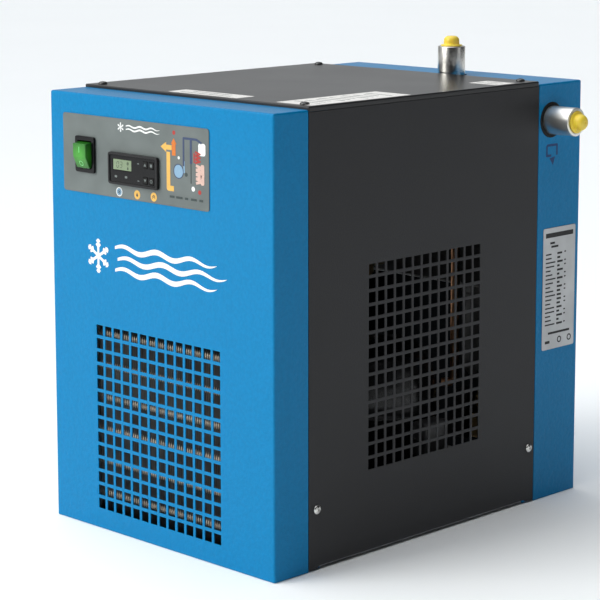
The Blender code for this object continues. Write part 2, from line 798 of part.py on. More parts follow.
def fan_blade(number, hub):
    """One pitched blade, a thin slab that is rooted in the hub and turned to its place."""
    bm = bmesh.new()
    bmesh.ops.create_cube(bm, size=1.0)
    length = FAN_RADIUS - HUB_RADIUS + 0.004
    for vert in bm.verts:
        tip = vert.co.z > 0
        chord = 0.052 if tip else 0.026
        pitch = math.radians(24 if tip else 38)
        swept = 0.010 if tip else 0.0
        along = vert.co.x * chord + swept
        across = vert.co.y * 0.0016
        radius = (FAN_RADIUS - 0.004) if tip else (FAN_RADIUS - length)
        x = along * math.cos(pitch) - across * math.sin(pitch)
        y = (along - swept) * math.sin(pitch) * 0.62 + across * math.cos(pitch)
        vert.co = (x, y, radius)
    mesh = finish_mesh(bm, f"blade_{number}")
    blade = add_object(f"blade_{number}", mesh, None, CUTTERS)
    blade.location = hub
    blade.rotation_euler = (0, math.tau * number / FAN_BLADES, 0)
    return blade


# ---------------------------------------------------------------- compressor


def make_compressor():
    """The hermetic shell on its feet plate, four rubber grommets and the terminal cover."""
    x, y = COMPRESSOR
    base = 0.0230
    profile = [
        (0.0, 0.163),
        (0.030, 0.161),
        (0.052, 0.154),
        (0.066, 0.140),
        (0.071, 0.118),
        (SHELL_RADIUS - 0.001, 0.090),
        (SHELL_RADIUS + 0.003, 0.088),
        (SHELL_RADIUS + 0.003, 0.084),
        (SHELL_RADIUS, 0.082),
        (SHELL_RADIUS, 0.030),
        (0.066, 0.012),
        (0.050, 0.002),
        (0.0, 0.0),
    ]
    turned("compressor_shell", profile, (x, y, base), BLACK, steps=24)
    reach = (0.078, 0.066)
    plate_low = 0.0200
    feet = block(
        "compressor_feet",
        (x - reach[0], y - reach[1], plate_low),
        (x + reach[0], y + reach[1], plate_low + 0.0025),
        BLACK,
    )
    grommet = [
        (0.0, 0.0250),
        (0.0050, 0.0245),
        (0.0050, 0.0179),
        (0.0105, 0.0175),
        (0.0085, 0.0090),
        (0.0110, 0.0),
        (0.0, 0.0),
    ]
    for number, (right, back) in enumerate(((1, -1), (1, 1), (-1, 1), (-1, -1)), start=1):
        place = (x + right * (reach[0] - 0.012), y + back * (reach[1] - 0.012), FLOOR + GAP)
        bottom = (place[0], place[1], plate_low - 0.002)
        top = (place[0], place[1], plate_low + 0.006)
        cut(feet, rod(f"foot_hole_{number}", 0.0056, bottom, top, group=CUTTERS, sides=10))
        turned(f"grommet_{number}", grommet, place, RUBBER, steps=12)
    start = x + SHELL_RADIUS + 0.0035
    block("terminal_cover", (start, 0.014, 0.070), (0.138, 0.050, 0.106), PLASTIC, bevel=0.003)


# ---------------------------------------------------------------- heat exchanger, sockets, separator


def make_exchanger():
    """The aluminium heat exchanger, its foam jacket and the frame that carries it."""
    block("heat_exchanger_core", EXCHANGER_LOW, EXCHANGER_HIGH, ALUMINIUM)
    low = [c - FOAM - GAP for c in EXCHANGER_LOW]
    high = [c + FOAM + GAP for c in EXCHANGER_HIGH]
    jacket_bottom = EXCHANGER_LOW[2] + 0.0045
    jacket = block("exchanger_insulation", (low[0], low[1], jacket_bottom), high, FOAM_BLACK)
    inside = block(
        "jacket_inside",
        [c - GAP for c in EXCHANGER_LOW],
        [c + GAP for c in EXCHANGER_HIGH],
        group=CUTTERS,
    )
    clearance = SOCKET_RADIUS + 0.0004
    side_start = (EXCHANGER_HIGH[0] - 0.002, SOCKET_Y, SIDE_SOCKET_Z)
    side_end = (high[0] + 0.002, SOCKET_Y, SIDE_SOCKET_Z)
    side = rod("jacket_side_hole", clearance, side_start, side_end, group=CUTTERS, sides=20)
    top_start = (TOP_SOCKET_X, SOCKET_Y, EXCHANGER_HIGH[2] - 0.002)
    top_end = (TOP_SOCKET_X, SOCKET_Y, high[2] + 0.002)
    top = rod("jacket_top_hole", clearance, top_start, top_end, group=CUTTERS, sides=20)
    cut(jacket, inside, side, top)

    plate = 0.0015
    under = EXCHANGER_LOW[2] - GAP
    left = -0.132
    right = 0.1435
    foot = 0.013
    floor = FLOOR + GAP
    outline = [
        (left - foot, floor),
        (left + plate, floor),
        (left + plate, under - plate),
        (right - plate, under - plate),
        (right - plate, floor),
        (right + foot, floor),
        (right + foot, floor + plate),
        (right, floor + plate),
        (right, under),
        (left, under),
        (left, floor + plate),
        (left - foot, floor + plate),
    ]
    support = extruded("exchanger_support", outline, "XZ", 0.148, 0.214, GALVANISED)
    neck_start = (SEPARATOR[0], SEPARATOR[1], under - 0.010)
    neck_end = (SEPARATOR[0], SEPARATOR[1], under + 0.010)
    neck = rod("separator_hole", SEPARATOR_RADIUS + 0.0015, neck_start, neck_end, group=CUTTERS, sides=24)
    cut(support, neck)


def socket_profile(length):
    """A thick round socket with a countersunk mouth, from its bore's floor out and round."""
    chamfer = 0.0008
    countersink = SOCKET_MOUTH - SOCKET_BORE
    return [
        (0.0, length - SOCKET_BORE_DEPTH),
        (SOCKET_BORE, length - SOCKET_BORE_DEPTH),
        (SOCKET_BORE, length - countersink),
        (SOCKET_MOUTH, length),
        (SOCKET_RADIUS - chamfer, length),
        (SOCKET_RADIUS, length - chamfer),
        (SOCKET_RADIUS, 0.0),
        (0.0, 0.0),
    ]


def cap_profile():
    """A push-in transport plug: a dome, a flange and a skirt that fills the bore's mouth."""
    dome = 0.0086
    height = 0.0095
    rounding = 0.005
    flange = 0.01175
    shoulder = 0.0013
    skirt = 0.0096
    reach = 0.008
    profile = [(0.0, shoulder + height)]
    profile += arc((dome - rounding, shoulder + height - rounding), rounding, 90, 0, 3)
    profile += [(dome, shoulder), (flange, shoulder), (flange, 0.0)]
    profile += [(skirt, 0.0), (skirt - 0.0004, -reach), (0.0, -reach)]
    return profile


def make_sockets():
    """The two air sockets with their yellow transport caps."""
    side_start = EXCHANGER_HIGH[0] + GAP
    profile = socket_profile(SIDE_SOCKET_END - side_start)
    turned("side_air_socket", profile, (side_start, SOCKET_Y, SIDE_SOCKET_Z), STEEL, axis=(1, 0, 0), steps=20)
    top_start = EXCHANGER_HIGH[2] + GAP
    profile = socket_profile(TOP_SOCKET_END - top_start)
    turned("top_air_socket", profile, (TOP_SOCKET_X, SOCKET_Y, top_start), STEEL, steps=20)
    side_cap = (SIDE_SOCKET_END + GAP, SOCKET_Y, SIDE_SOCKET_Z)
    turned("side_cap", cap_profile(), side_cap, YELLOW, axis=(1, 0, 0), steps=16)
    top_cap = (TOP_SOCKET_X, SOCKET_Y, TOP_SOCKET_END + GAP)
    turned("top_cap", cap_profile(), top_cap, YELLOW, steps=16)


def make_drain():
    """The separator bowl and, below it, the ball valve, the solenoid valve and the outlet."""
    x, y = SEPARATOR
    bowl_top = EXCHANGER_LOW[2] - GAP
    bowl_bottom = 0.108
    height = bowl_top - bowl_bottom
    bowl = [
        (0.0, height),
        (SEPARATOR_RADIUS, height),
        (SEPARATOR_RADIUS, 0.030),
        (SEPARATOR_RADIUS - 0.006, 0.016),
        (0.008, 0.010),
        (0.008, 0.0),
        (0.0, 0.0),
    ]
    turned("separator", bowl, (x, y, bowl_bottom), ALUMINIUM, steps=20)

    valve_low = 0.0800
    valve_high = bowl_bottom - GAP
    middle = (valve_low + valve_high) / 2
    valve_height = valve_high - valve_low
    body = [
        (0.0, valve_height),
        (0.0105, valve_height),
        (0.0105, valve_height - 0.006),
        (0.0130, valve_height - 0.008),
        (0.0130, 0.008),
        (0.0105, 0.006),
        (0.0105, 0.0),
        (0.0, 0.0),
    ]
    valve = turned("drain_ball_valve", body, (x, y, valve_low), BRASS, steps=14)
    stem_end = x + 0.0190
    stem_start = (x + 0.008, y, middle)
    join(valve, rod("valve_stem", 0.0045, stem_start, (stem_end, y, middle), group=CUTTERS, sides=12))
    grip = 0.0045
    length = 0.046
    hub = 0.0075
    outline = arc((y, middle), hub, 30, 150, 4)
    outline += arc((y, middle - length), grip, 180, 360, 4)
    extruded("drain_lever", outline, "YZ", stem_end + GAP, stem_end + 0.0023, STEEL)

    half = 0.014
    low = (x - half, y - half, 0.052)
    high = (x + half, y + half, valve_low - GAP)
    solenoid = block("drain_solenoid", low, high, BRASS, bevel=0.002)
    armature_start = (x - 0.012, y, DRAIN_AXIS_Z)
    armature_end = (x - 0.046, y, DRAIN_AXIS_Z)
    join(solenoid, rod("armature", ARMATURE, armature_start, armature_end, group=CUTTERS, sides=14))
    port_start = (x, y + 0.012, DRAIN_AXIS_Z)
    port_end = (x, y + 0.025, DRAIN_AXIS_Z)
    join(solenoid, rod("solenoid_port", 0.0065, port_start, port_end, group=CUTTERS, sides=12))
    half = 0.017
    low = (x - 0.042, y - half, 0.049)
    high = (x - 0.0155, y + half, 0.083)
    coil = block("drain_coil", low, high, PLASTIC, bevel=0.002)
    bore_start = (x - 0.050, y, DRAIN_AXIS_Z)
    bore_end = (x - 0.010, y, DRAIN_AXIS_Z)
    cut(coil, rod("coil_bore", ARMATURE + 0.0004, bore_start, bore_end, group=CUTTERS, sides=14))
    plug = block("coil_plug", (x - 0.040, y - 0.011, 0.081), (x - 0.018, y + 0.011, 0.100), group=CUTTERS)
    join(coil, plug)

    outlet_start = 0.2213
    hose = [(x, y + 0.0253, DRAIN_AXIS_Z), (x, (y + 0.0253 + outlet_start) / 2, DRAIN_AXIS_Z)]
    hose.append((x, outlet_start - GAP, DRAIN_AXIS_Z))
    tube("drain_hose", hose, 0.0042, PLASTIC)
    wall = BACK - outlet_start + GAP
    outlet = [
        (0.0, wall + 0.006),
        (0.0040, wall + 0.006),
        (0.0040, wall + 0.018),
        (0.0060, wall + 0.018),
        (0.0068, wall + 0.013),
        (0.0060, wall + 0.012),
        (0.0060, wall + 0.006),
        (0.0110, wall + 0.006),
        (0.0110, wall),
        (0.0070, wall),
        (0.0070, 0.0),
        (0.0, 0.0),
    ]
    turned("drain_outlet", outlet, (x, outlet_start, DRAIN_AXIS_Z), BRASS, axis=(0, 1, 0), steps=16)


# ---------------------------------------------------------------- lines and electrics


def make_lines():
    """The refrigerant circuit's lines, drier, capillary tube and hot-gas valve."""
    line = 0.0032
    coil_top = COIL_START_Z + (COIL_RUNS - 1) * COIL_PITCH
    coil_end = COIL_Y + COIL_TAIL + GAP
    shell_out = SHELL_RADIUS + 0.0042
    diagonal = math.sqrt(0.5)
    x, y = COMPRESSOR
    port = (x - shell_out * diagonal, y - shell_out * diagonal, 0.128)
    knee = (port[0] - 0.022, port[1] - 0.022, 0.128)
    riser_foot = (*RISER, 0.128)
    riser_top = (*RISER, coil_top)
    discharge_end = (RISER[0], coil_end, coil_top)
    discharge = bent([port, knee, riser_foot, riser_top, discharge_end], LINE_BEND)
    tube("discharge_line", discharge, line, COPPER)

    drier_front = -0.060
    drier_length = 0.090
    liquid = [(COIL_LEFT, coil_end, COIL_START_Z), (COIL_LEFT, drier_front - GAP, COIL_START_Z)]
    tube("liquid_line", liquid, line, COPPER)
    drier = [
        (0.0, drier_length),
        (line, drier_length),
        (line, drier_length - 0.008),
        (0.0095, drier_length - 0.018),
        (0.0095, 0.018),
        (line, 0.008),
        (line, 0.0),
        (0.0, 0.0),
    ]
    turned("filter_drier", drier, (COIL_LEFT, drier_front, COIL_START_Z), COPPER, axis=(0, 1, 0), steps=14)

    capillary = 0.0012
    coil_centre = Vector((COIL_LEFT + 0.014, 0.090, 0.112))
    coil_radius = 0.024
    turns = 3
    per_turn = 11
    path = [Vector((COIL_LEFT, drier_front + drier_length + GAP, COIL_START_Z))]
    path.append(path[0] + Vector((0, 0.010, 0.003)))
    path.append(path[0] + Vector((0, 0.018, 0.030)))
    for i in range(turns * per_turn + 1):
        angle = math.radians(235) + math.tau * i / per_turn
        rise = 0.0036 * i / per_turn
        around = Vector((math.cos(angle), math.sin(angle), 0)) * coil_radius
        path.append(coil_centre + around + Vector((0, 0, rise)))
    path.append(Vector((-0.088, 0.080, 0.175)))
    path.append(Vector((-0.066, 0.108, 0.262)))
    path.append(Vector((-0.062, 0.1312, 0.268)))
    tube("capillary_tube", path, capillary, COPPER)

    suction_radius = 0.0048
    suction_port = (x + shell_out * diagonal, y + shell_out * diagonal, 0.132)
    elbow = (0.1045, 0.0965, 0.132)
    jacket_front = EXCHANGER_LOW[1] - FOAM - GAP
    suction_top = (0.1045, 0.0965, 0.300)
    suction_end = (0.1045, jacket_front - GAP, 0.300)
    suction = bent([suction_port, elbow, suction_top, suction_end], LINE_BEND)
    tube("suction_line", suction, suction_radius, COPPER)

    valve_low = 0.228
    valve_x = -0.028
    valve_y = 0.096
    bypass = [
        (RISER[0] + line + GAP, RISER[1], 0.186),
        (valve_x, RISER[1], 0.186),
        (valve_x, valve_y, 0.186),
        (valve_x, valve_y, valve_low - GAP),
    ]
    tube("bypass_line", bent(bypass, LINE_BEND), line, COPPER)
    valve_profile = [
        (0.0, 0.036),
        (0.0075, 0.036),
        (0.0075, 0.026),
        (0.0115, 0.024),
        (0.0115, 0.006),
        (0.0060, 0.0),
        (0.0, 0.0),
    ]
    valve = turned("hot_gas_valve", valve_profile, (valve_x, valve_y, valve_low), BRASS, steps=14)
    outlet_z = valve_low + 0.015
    outlet_start = (valve_x, valve_y + 0.008, outlet_z)
    outlet_end = (valve_x, jacket_front - GAP, outlet_z)
    join(valve, rod("hot_gas_outlet", 0.004, outlet_start, outlet_end, group=CUTTERS, sides=10))


def make_electrics():
    """The cable gland in the rear tray, and the junction box in front of it."""
    wall = 0.0140
    bore = 0.0045
    gland = [
        (bore, wall + 0.020),
        (0.0095, wall + 0.020),
        (0.0110, wall + 0.016),
        (0.0110, wall + 0.007),
        (0.0125, wall + 0.006),
        (0.0125, wall),
        (0.0080, wall),
        (0.0080, 0.0),
        (bore, 0.0),
    ]
    place = (GLAND[0], BACK + GAP - wall, GLAND[1])
    turned("cable_gland", gland, place, PLASTIC, axis=(0, 1, 0), ring=True, steps=16)
    block("junction_box", (-0.128, 0.158, 0.030), (-0.076, 0.208, 0.084), PLASTIC, bevel=0.003)


def build():
    """Make every piece."""
    front_holes = screw_holes(-1)
    rear_holes = screw_holes(1)
    all_holes = front_holes + rear_holes
    cover_holes = [hole for hole in all_holes if hole.name.startswith("hole_cover")]
    right_holes = [hole for hole in all_holes if hole.name.startswith("hole_side_right")]
    left_holes = [hole for hole in all_holes if hole.name.startswith("hole_side_left")]
    make_front_panel(front_holes)
    make_rear_panel(rear_holes)
    make_top_cover(cover_holes)
    make_side_panel("right_side_panel", 1, right_holes)
    make_side_panel("left_side_panel", -1, left_holes)
    make_base_plate()
    make_screws()
    make_decal()
    make_switch()
    make_controller()
    make_rating_plate()
    make_condenser()
    make_fan()
    make_compressor()
    make_exchanger()
    make_sockets()
    make_drain()
    make_lines()
    make_electrics()


build()
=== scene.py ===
"""Looks of the refrigerated compressed-air dryer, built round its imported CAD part.

Metres, +Z up, in the part's own frame: +X is the right side seen from the front, and the control
panel faces -Y. Each piece is modelled in place, rides on its CAD body and stands for its CAD node.
"""
import math

import bmesh
import bpy
from mathutils import Matrix, Vector


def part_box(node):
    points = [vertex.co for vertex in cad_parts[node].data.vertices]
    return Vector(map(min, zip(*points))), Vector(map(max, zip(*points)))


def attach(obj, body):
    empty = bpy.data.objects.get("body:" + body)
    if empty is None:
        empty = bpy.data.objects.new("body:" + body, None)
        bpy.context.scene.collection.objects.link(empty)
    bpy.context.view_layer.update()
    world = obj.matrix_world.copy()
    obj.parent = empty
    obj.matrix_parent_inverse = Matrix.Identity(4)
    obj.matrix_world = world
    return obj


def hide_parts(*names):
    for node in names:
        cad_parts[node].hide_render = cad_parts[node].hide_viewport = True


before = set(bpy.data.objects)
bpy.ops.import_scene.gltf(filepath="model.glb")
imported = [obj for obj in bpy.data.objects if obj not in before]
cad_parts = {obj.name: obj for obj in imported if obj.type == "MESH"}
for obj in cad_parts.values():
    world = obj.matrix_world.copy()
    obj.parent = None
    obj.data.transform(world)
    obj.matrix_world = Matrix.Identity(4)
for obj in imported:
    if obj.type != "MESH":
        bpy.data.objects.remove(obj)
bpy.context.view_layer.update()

X = 0
Y = 1
Z = 2
# Each plane's axes: across, up, and the one that stands on it.
PLANES = {"XY": (X, Y, Z), "XZ": (X, Z, Y), "YZ": (Y, Z, X)}


class Box:
    """A CAD node's bounds, with its middle and its size."""

    def __init__(self, node):
        self.low, self.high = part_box(node)
        self.middle = (self.low + self.high) / 2
        self.size = self.high - self.low

    def on(self, plane, less=0.0):
        """Its centre and its size on a plane, the size less a length both ways."""
        spans = [(self.low[axis], self.high[axis]) for axis in PLANES[plane][:2]]
        centre = tuple((low + high) / 2 for low, high in spans)
        return centre, tuple(high - low - less for low, high in spans)


# Planes of the casing, from the CAD nodes.
FRONT_PANEL = Box("front_panel")
SIDE_PANEL = Box("right_side_panel")
COVER = Box("top_cover")
DECAL = Box("control_decal")
RIGHT = FRONT_PANEL.high.x
FRONT = FRONT_PANEL.low.y
HEIGHT = FRONT_PANEL.high.z
BACK = Box("rear_panel").high.y
SEAM = 0.0008
FRONT_SEAM = SIDE_PANEL.low.y - SEAM
REAR_SEAM = SIDE_PANEL.high.y + SEAM
SHEET = 0.0012
BEND = 0.0022

# The lips: thickness, reach under the panel and under the tray, and where they end.
LIP = 0.0015
LIP_REACH = 0.017
LIP_OVERLAP = 0.016
LIP_BOTTOM = 0.0005
LIP_BELOW_TOP = 0.004
LIP_UNDER_COVER = 0.0006
TOP_LIP_HALF = 0.150

# Clearances between two pieces and between print and its face. Nearer than SAME is the same place.
GAP = 0.0003
ON_FACE = 0.00002
SAME = 0.00001
# How far the edges of a cut sheet are rounded.
EDGE = 0.0003

# Perforations: columns, rows, pitch across, pitch up, centre. A hole takes its share of the pitch.
HOLE_SHARE = 0.75
FRONT_GRILLE = (14, 14, 0.01336, 0.01406, (-0.003, 0.1175))
SIDE_GRILLE = (13, 15, 0.01318, 0.01399, (-0.0172, 0.1890))

# The pieces set in the control panel, and how much narrower their cut-outs are.
CONTROLS = ("switch_housing", "controller_housing")
CUTOUT_LESS = 0.004
SOCKET_HOLE = 0.017
OUTLET_HOLE = 0.0075
GLAND_HOLE = 0.0085


# ---------------------------------------------------------------- materials


class Nodes:
    """The node tree of a material or a world, with short calls for its nodes."""

    def __init__(self, owner, shader):
        owner.use_nodes = True
        self.tree = owner.node_tree
        self.shader = self.tree.nodes[shader]

    def fill(self, node, inputs):
        """Sets a node's inputs: an output is linked to its input, and anything else is its value."""
        for socket, value in inputs.items():
            if isinstance(value, bpy.types.NodeSocket):
                self.tree.links.new(value, node.inputs[socket])
            else:
                node.inputs[socket].default_value = value

    def add(self, kind, output, inputs, **settings):
        """Adds a node, and returns one of its outputs."""
        node = self.tree.nodes.new("ShaderNode" + kind)
        for setting, value in settings.items():
            setattr(node, setting, value)
        self.fill(node, inputs)
        return node.outputs[output]


class Finish(Nodes):
    """A material under construction."""

    def __init__(self, name, colour, roughness, metallic=0.0, **sockets):
        self.material = bpy.data.materials.new(name)
        super().__init__(self.material, "Principled BSDF")
        self.colour = colour
        self.roughness = roughness
        own = {"Base Color": (*colour, 1.0), "Roughness": roughness, "Metallic": metallic}
        self.fill(self.shader, own)
        self.fill(self.shader, {socket.replace("_", " "): value for socket, value in sockets.items()})
        self.place = self.add("TexCoord", "Object", {})

    def noise(self, scale, detail=2.0):
        return self.add("TexNoise", "Fac", {"Scale": scale, "Detail": detail, "Vector": self.place})

    def cells(self, scale):
        colour = self.add("TexVoronoi", "Color", {"Scale": scale, "Vector": self.place})
        return self.add("SeparateColor", "Red", {"Color": colour})

    def rings(self, scale, axis, distortion):
        """Bands across an axis, as a lathe's tool leaves."""
        inputs = {"Scale": scale, "Distortion": distortion, "Vector": self.place}
        return self.add("TexWave", "Fac", inputs, wave_type="BANDS", bands_direction=axis)

    def spread(self, factor, low, high, start=0.3, end=0.7):
        """A factor's middle stretch, taken to a range."""
        inputs = {"From Min": start, "From Max": end, "To Min": low, "To Max": high, "Value": factor}
        return self.add("MapRange", "Result", inputs)

    def tint(self, factor, first, second, start, end):
        """Takes the colour from one to another by a factor."""
        share = self.spread(factor, 0.0, 1.0, start, end)
        mixed = self.add("Mix", 2, {0: share, 6: (*first, 1.0), 7: (*second, 1.0)}, data_type="RGBA")
        self.fill(self.shader, {"Base Color": mixed})

    def mottle(self, factor, amount, start=0.3, end=0.7):
        """Lets the colour vary round its own value by a factor."""
        dark = tuple(c * (1 - amount) for c in self.colour)
        light = tuple(min(1.0, c * (1 + amount)) for c in self.colour)
        self.tint(factor, dark, light, start, end)

    def wear(self, factor, amount):
        """Lets the roughness vary round its own value by a factor."""
        low = max(0.03, self.roughness - amount)
        self.fill(self.shader, {"Roughness": self.spread(factor, low, self.roughness + amount)})

    def bump(self, factor, strength, depth):
        """Adds relief on top of what is there."""
        inputs = {"Strength": strength, "Distance": depth, "Height": factor}
        normal = self.shader.inputs["Normal"]
        if normal.is_linked:
            inputs["Normal"] = normal.links[0].from_socket
        self.fill(self.shader, {"Normal": self.add("Bump", "Normal", inputs)})


# Depths of relief: orange peel, the grain of most surfaces, ink, and the lathe's rings.
PEEL = 0.0006
GRAIN = 0.0002
INK_DEPTH = 0.0001
RING_DEPTH = 0.00005


def powder_coat(name, colour, roughness, grain, relief, amount, **sockets):
    """Powder coat: fine orange peel, with a soft unevenness in gloss and tone."""
    coat = Finish(name, colour, roughness, **sockets)
    coat.mottle(coat.noise(grain, 3.0), amount)
    coat.wear(coat.noise(9.0, 3.0), 0.015)
    coat.bump(coat.noise(grain), relief, PEEL)
    coat.bump(coat.noise(grain * 3.1, 1.0), relief * 0.5, GRAIN)
    return coat.material


def galvanised():
    metal = Finish("galvanised", (0.34, 0.35, 0.36), 0.50, 0.85)
    metal.mottle(metal.cells(70.0), 0.16, 0.0, 1.0)
    metal.wear(metal.cells(70.0), 0.10)
    metal.bump(metal.noise(600.0), 0.08, GRAIN)
    return metal.material


def turned_metal(name, colour, roughness, axis):
    """Metal off the lathe, with fine rings across its axis and a few dull spots."""
    metal = Finish(name, colour, roughness, 1.0)
    metal.mottle(metal.noise(60.0, 4.0), 0.06)
    metal.wear(metal.noise(45.0, 3.0), 0.07)
    metal.bump(metal.rings(900.0, axis, 0.4), 0.10, RING_DEPTH)
    return metal.material


def plain_metal(name, colour, roughness, amount, grain=80.0, metallic=1.0):
    metal = Finish(name, colour, roughness, metallic)
    metal.mottle(metal.noise(grain, 4.0), amount)
    metal.wear(metal.noise(grain * 0.6, 3.0), 0.10)
    metal.bump(metal.noise(grain * 8), 0.08, GRAIN)
    return metal.material


def moulded(name, colour, roughness, grain=1400.0, relief=0.15, **sockets):
    """Moulded plastic, rubber or foam: a fine grain and a slight unevenness in tone."""
    plastic = Finish(name, colour, roughness, **sockets)
    plastic.mottle(plastic.noise(35.0), 0.10)
    plastic.wear(plastic.noise(25.0, 3.0), 0.05)
    plastic.bump(plastic.noise(grain), relief, GRAIN)
    return plastic.material


def printed(name, colour):
    """Screen-printed ink, a little uneven."""
    ink = Finish(name, colour, 0.42, Specular_IOR_Level=0.25)
    ink.mottle(ink.noise(500.0), 0.06)
    ink.bump(ink.noise(2000.0), 0.05, INK_DEPTH)
    return ink.material


def lit_lens(name, rim, middle, node, reach):
    """A clear-coloured lens lit from behind, brightest at its middle."""
    lens = Finish(name, middle, 0.22, Specular_IOR_Level=0.3, Coat_Weight=0.15, Coat_Roughness=0.08)
    offset = -Box(node).middle / reach
    offset.y = 0.0
    scale = (1 / reach, 0.0, 1 / reach)
    place = lens.add("Mapping", "Vector", {"Location": offset, "Scale": scale, "Vector": lens.place})
    glow = lens.add("TexGradient", "Fac", {"Vector": place}, gradient_type="SPHERICAL")
    lens.tint(glow, rim, middle, 0.1, 0.8)
    lens.bump(lens.noise(60.0), 0.01, GRAIN)
    return lens.material


BLUE = powder_coat(
    "blue_paint", (0.001, 0.186, 0.418), 0.34, 260.0, 0.8, 0.05,
    Specular_IOR_Level=0.08, Coat_Weight=0.12, Coat_Roughness=0.16,
)
# Painted shade: a near-black finish on the insides of the trays, so that the inside seen through the
# grilles stays as dark as shade.
INNER_PAINTED_SHADE = powder_coat("inner_painted_shade", (0.008, 0.011, 0.015), 0.70, 300.0, 0.3, 0.10, Specular_IOR_Level=0.1)
SHELL_BLACK = powder_coat("shell_paint", (0.010, 0.010, 0.011), 0.24, 160.0, 0.25, 0.10)
BLACK = powder_coat("black_paint", (0.021, 0.021, 0.023), 0.48, 700.0, 0.30, 0.12, Specular_IOR_Level=0.28)
COVER_BLACK = powder_coat(
    "cover_paint", (0.011, 0.011, 0.012), 0.30, 700.0, 0.10, 0.10, Specular_IOR_Level=0.45
)
GALVANISED = galvanised()
STEEL_X = turned_metal("bright_steel_x", (0.78, 0.77, 0.74), 0.38, "X")
STEEL_Z = turned_metal("bright_steel_z", (0.70, 0.68, 0.64), 0.24, "Z")
SCREW_STEEL = plain_metal("screw_steel", (0.68, 0.67, 0.64), 0.24, 0.10, 400.0)
SCREW_DARK = plain_metal("screw_dark", (0.10, 0.10, 0.10), 0.36, 0.10, 400.0)
COPPER = plain_metal("copper", (0.52, 0.27, 0.15), 0.38, 0.22)
BRASS = plain_metal("brass", (0.68, 0.50, 0.24), 0.33, 0.14)
ALUMINIUM = plain_metal("aluminium", (0.40, 0.41, 0.42), 0.48, 0.14, 50.0)
# Dark fin metal, partly the metal's own grey and partly painted shade: darkened so the condenser fins, the
# exchanger core and the separator bowl stay as dark as the shade inside the casing.
FIN_METAL_PAINTED_SHADE = plain_metal("fin_metal_painted_shade", (0.120, 0.122, 0.120), 0.55, 0.30, 40.0, 0.5)
COIL = plain_metal("coil_copper", (0.50, 0.43, 0.35), 0.52, 0.24, 90.0, 0.55)
PLASTIC = moulded("black_plastic", (0.010, 0.010, 0.011), 0.38, Specular_IOR_Level=0.25)
GLOSS_BLACK = moulded("gloss_black", (0.004, 0.004, 0.005), 0.16, 300.0, 0.02, Specular_IOR_Level=0.18)
RUBBER = moulded("rubber", (0.014, 0.014, 0.014), 0.78, 900.0, 0.3, Specular_IOR_Level=0.2)
FOAM = moulded("foam", (0.018, 0.018, 0.018), 0.92, 350.0, 0.8)
GREY_FILM = moulded("grey_film", (0.128, 0.148, 0.145), 0.42, 900.0, 0.12, Specular_IOR_Level=0.3)
SILVER_FILM = moulded("silver_film", (0.55, 0.56, 0.57), 0.34, 900.0, 0.06)
GREEN = lit_lens("green_lens", (0.008, 0.080, 0.008), (0.045, 0.290, 0.022), "switch_housing", 0.019)
YELLOW = moulded("yellow_plastic", (0.92, 0.66, 0.06), 0.34, 500.0, 0.08, Subsurface_Weight=0.12)
WINDOW = moulded("display_window", (0.205, 0.270, 0.165), 0.12, 200.0, 0.01, Specular_IOR_Level=0.3)
SEGMENT = printed("segment", (0.030, 0.045, 0.030))
LABEL = printed("label_white", (0.80, 0.78, 0.75))
GREY_PLASTIC = moulded("grey_plastic", (0.085, 0.085, 0.088), 0.40)
INK_COLOURS = {
    "white": (0.80, 0.81, 0.80), "amber": (0.72, 0.42, 0.10), "orange": (0.60, 0.17, 0.03),
    "red": (0.38, 0.04, 0.035), "navy": (0.045, 0.065, 0.13), "sky": (0.22, 0.36, 0.50),
    "rose": (0.62, 0.42, 0.36), "dark": (0.045, 0.060, 0.060), "deep_blue": (0.004, 0.045, 0.150),
    "black": (0.014, 0.014, 0.015), "pale_green": (0.16, 0.55, 0.17),
}
INKS = {ink: printed("print_" + ink, colour) for ink, colour in INK_COLOURS.items()}


# ---------------------------------------------------------------- modelling tools


def link_object(name, data):
    obj = bpy.data.objects.new(name, data)
    bpy.context.scene.collection.objects.link(obj)
    return obj


def mesh_of(name, bm):
    """Turns a bmesh into a mesh, and frees it."""
    mesh = bpy.data.meshes.new(name)
    bm.to_mesh(mesh)
    bm.free()
    return mesh


def baked(obj):
    """A mesh of what an object's modifiers or its curve make."""
    bpy.context.view_layer.update()
    return bpy.data.meshes.new_from_object(obj.evaluated_get(bpy.context.evaluated_depsgraph_get()))


def piece(name, bm, finish, body="casing", stands_for=(), smooth=35.0, sheet=0.0, inner=None,
          edge=0.0, segments=2):
    """Makes a bmesh a named piece on a body, standing for CAD nodes.

    A sheet's thickness goes inwards, with another finish inside if one is named. With an edge
    width its edges are rounded, and without one those sharper than smooth are kept sharp."""
    mesh = mesh_of(name, bm)
    mesh.materials.append(finish)
    mesh.shade_smooth()
    if smooth and not edge:
        mesh.set_sharp_from_angle(angle=math.radians(smooth))
    obj = link_object(name, mesh)
    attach(obj, body)
    if stands_for:
        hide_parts(*stands_for)
    if sheet:
        thicken(obj, sheet, inner)
    if edge:
        round_edges(obj, edge, segments)
    return obj


def round_edges(obj, width, segments=2, angle=30.0):
    """Rounds the sharp edges and keeps the flats flat."""
    rounding = obj.modifiers.new("rounded_edges", "BEVEL")
    rounding.width = width
    rounding.segments = segments
    rounding.limit_method = "ANGLE"
    rounding.angle_limit = math.radians(angle)
    rounding.miter_outer = "MITER_ARC"
    weights = obj.modifiers.new("flat_faces", "WEIGHTED_NORMAL")
    weights.keep_sharp = True


def thicken(obj, thickness, inner):
    """Gives an open sheet its thickness, inwards."""
    solid = obj.modifiers.new("sheet", "SOLIDIFY")
    solid.thickness = thickness
    solid.offset = -1.0
    solid.use_even_offset = True
    if inner:
        obj.data.materials.append(inner)
        solid.material_offset = 1


def keep(node, finish, width):
    """Keeps a CAD node, with rounded edges and its finish."""
    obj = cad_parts[node]
    obj.data.materials.clear()
    obj.data.materials.append(finish)
    obj.data.shade_smooth()
    weld = obj.modifiers.new("weld", "WELD")
    weld.merge_threshold = SAME
    round_edges(obj, width)


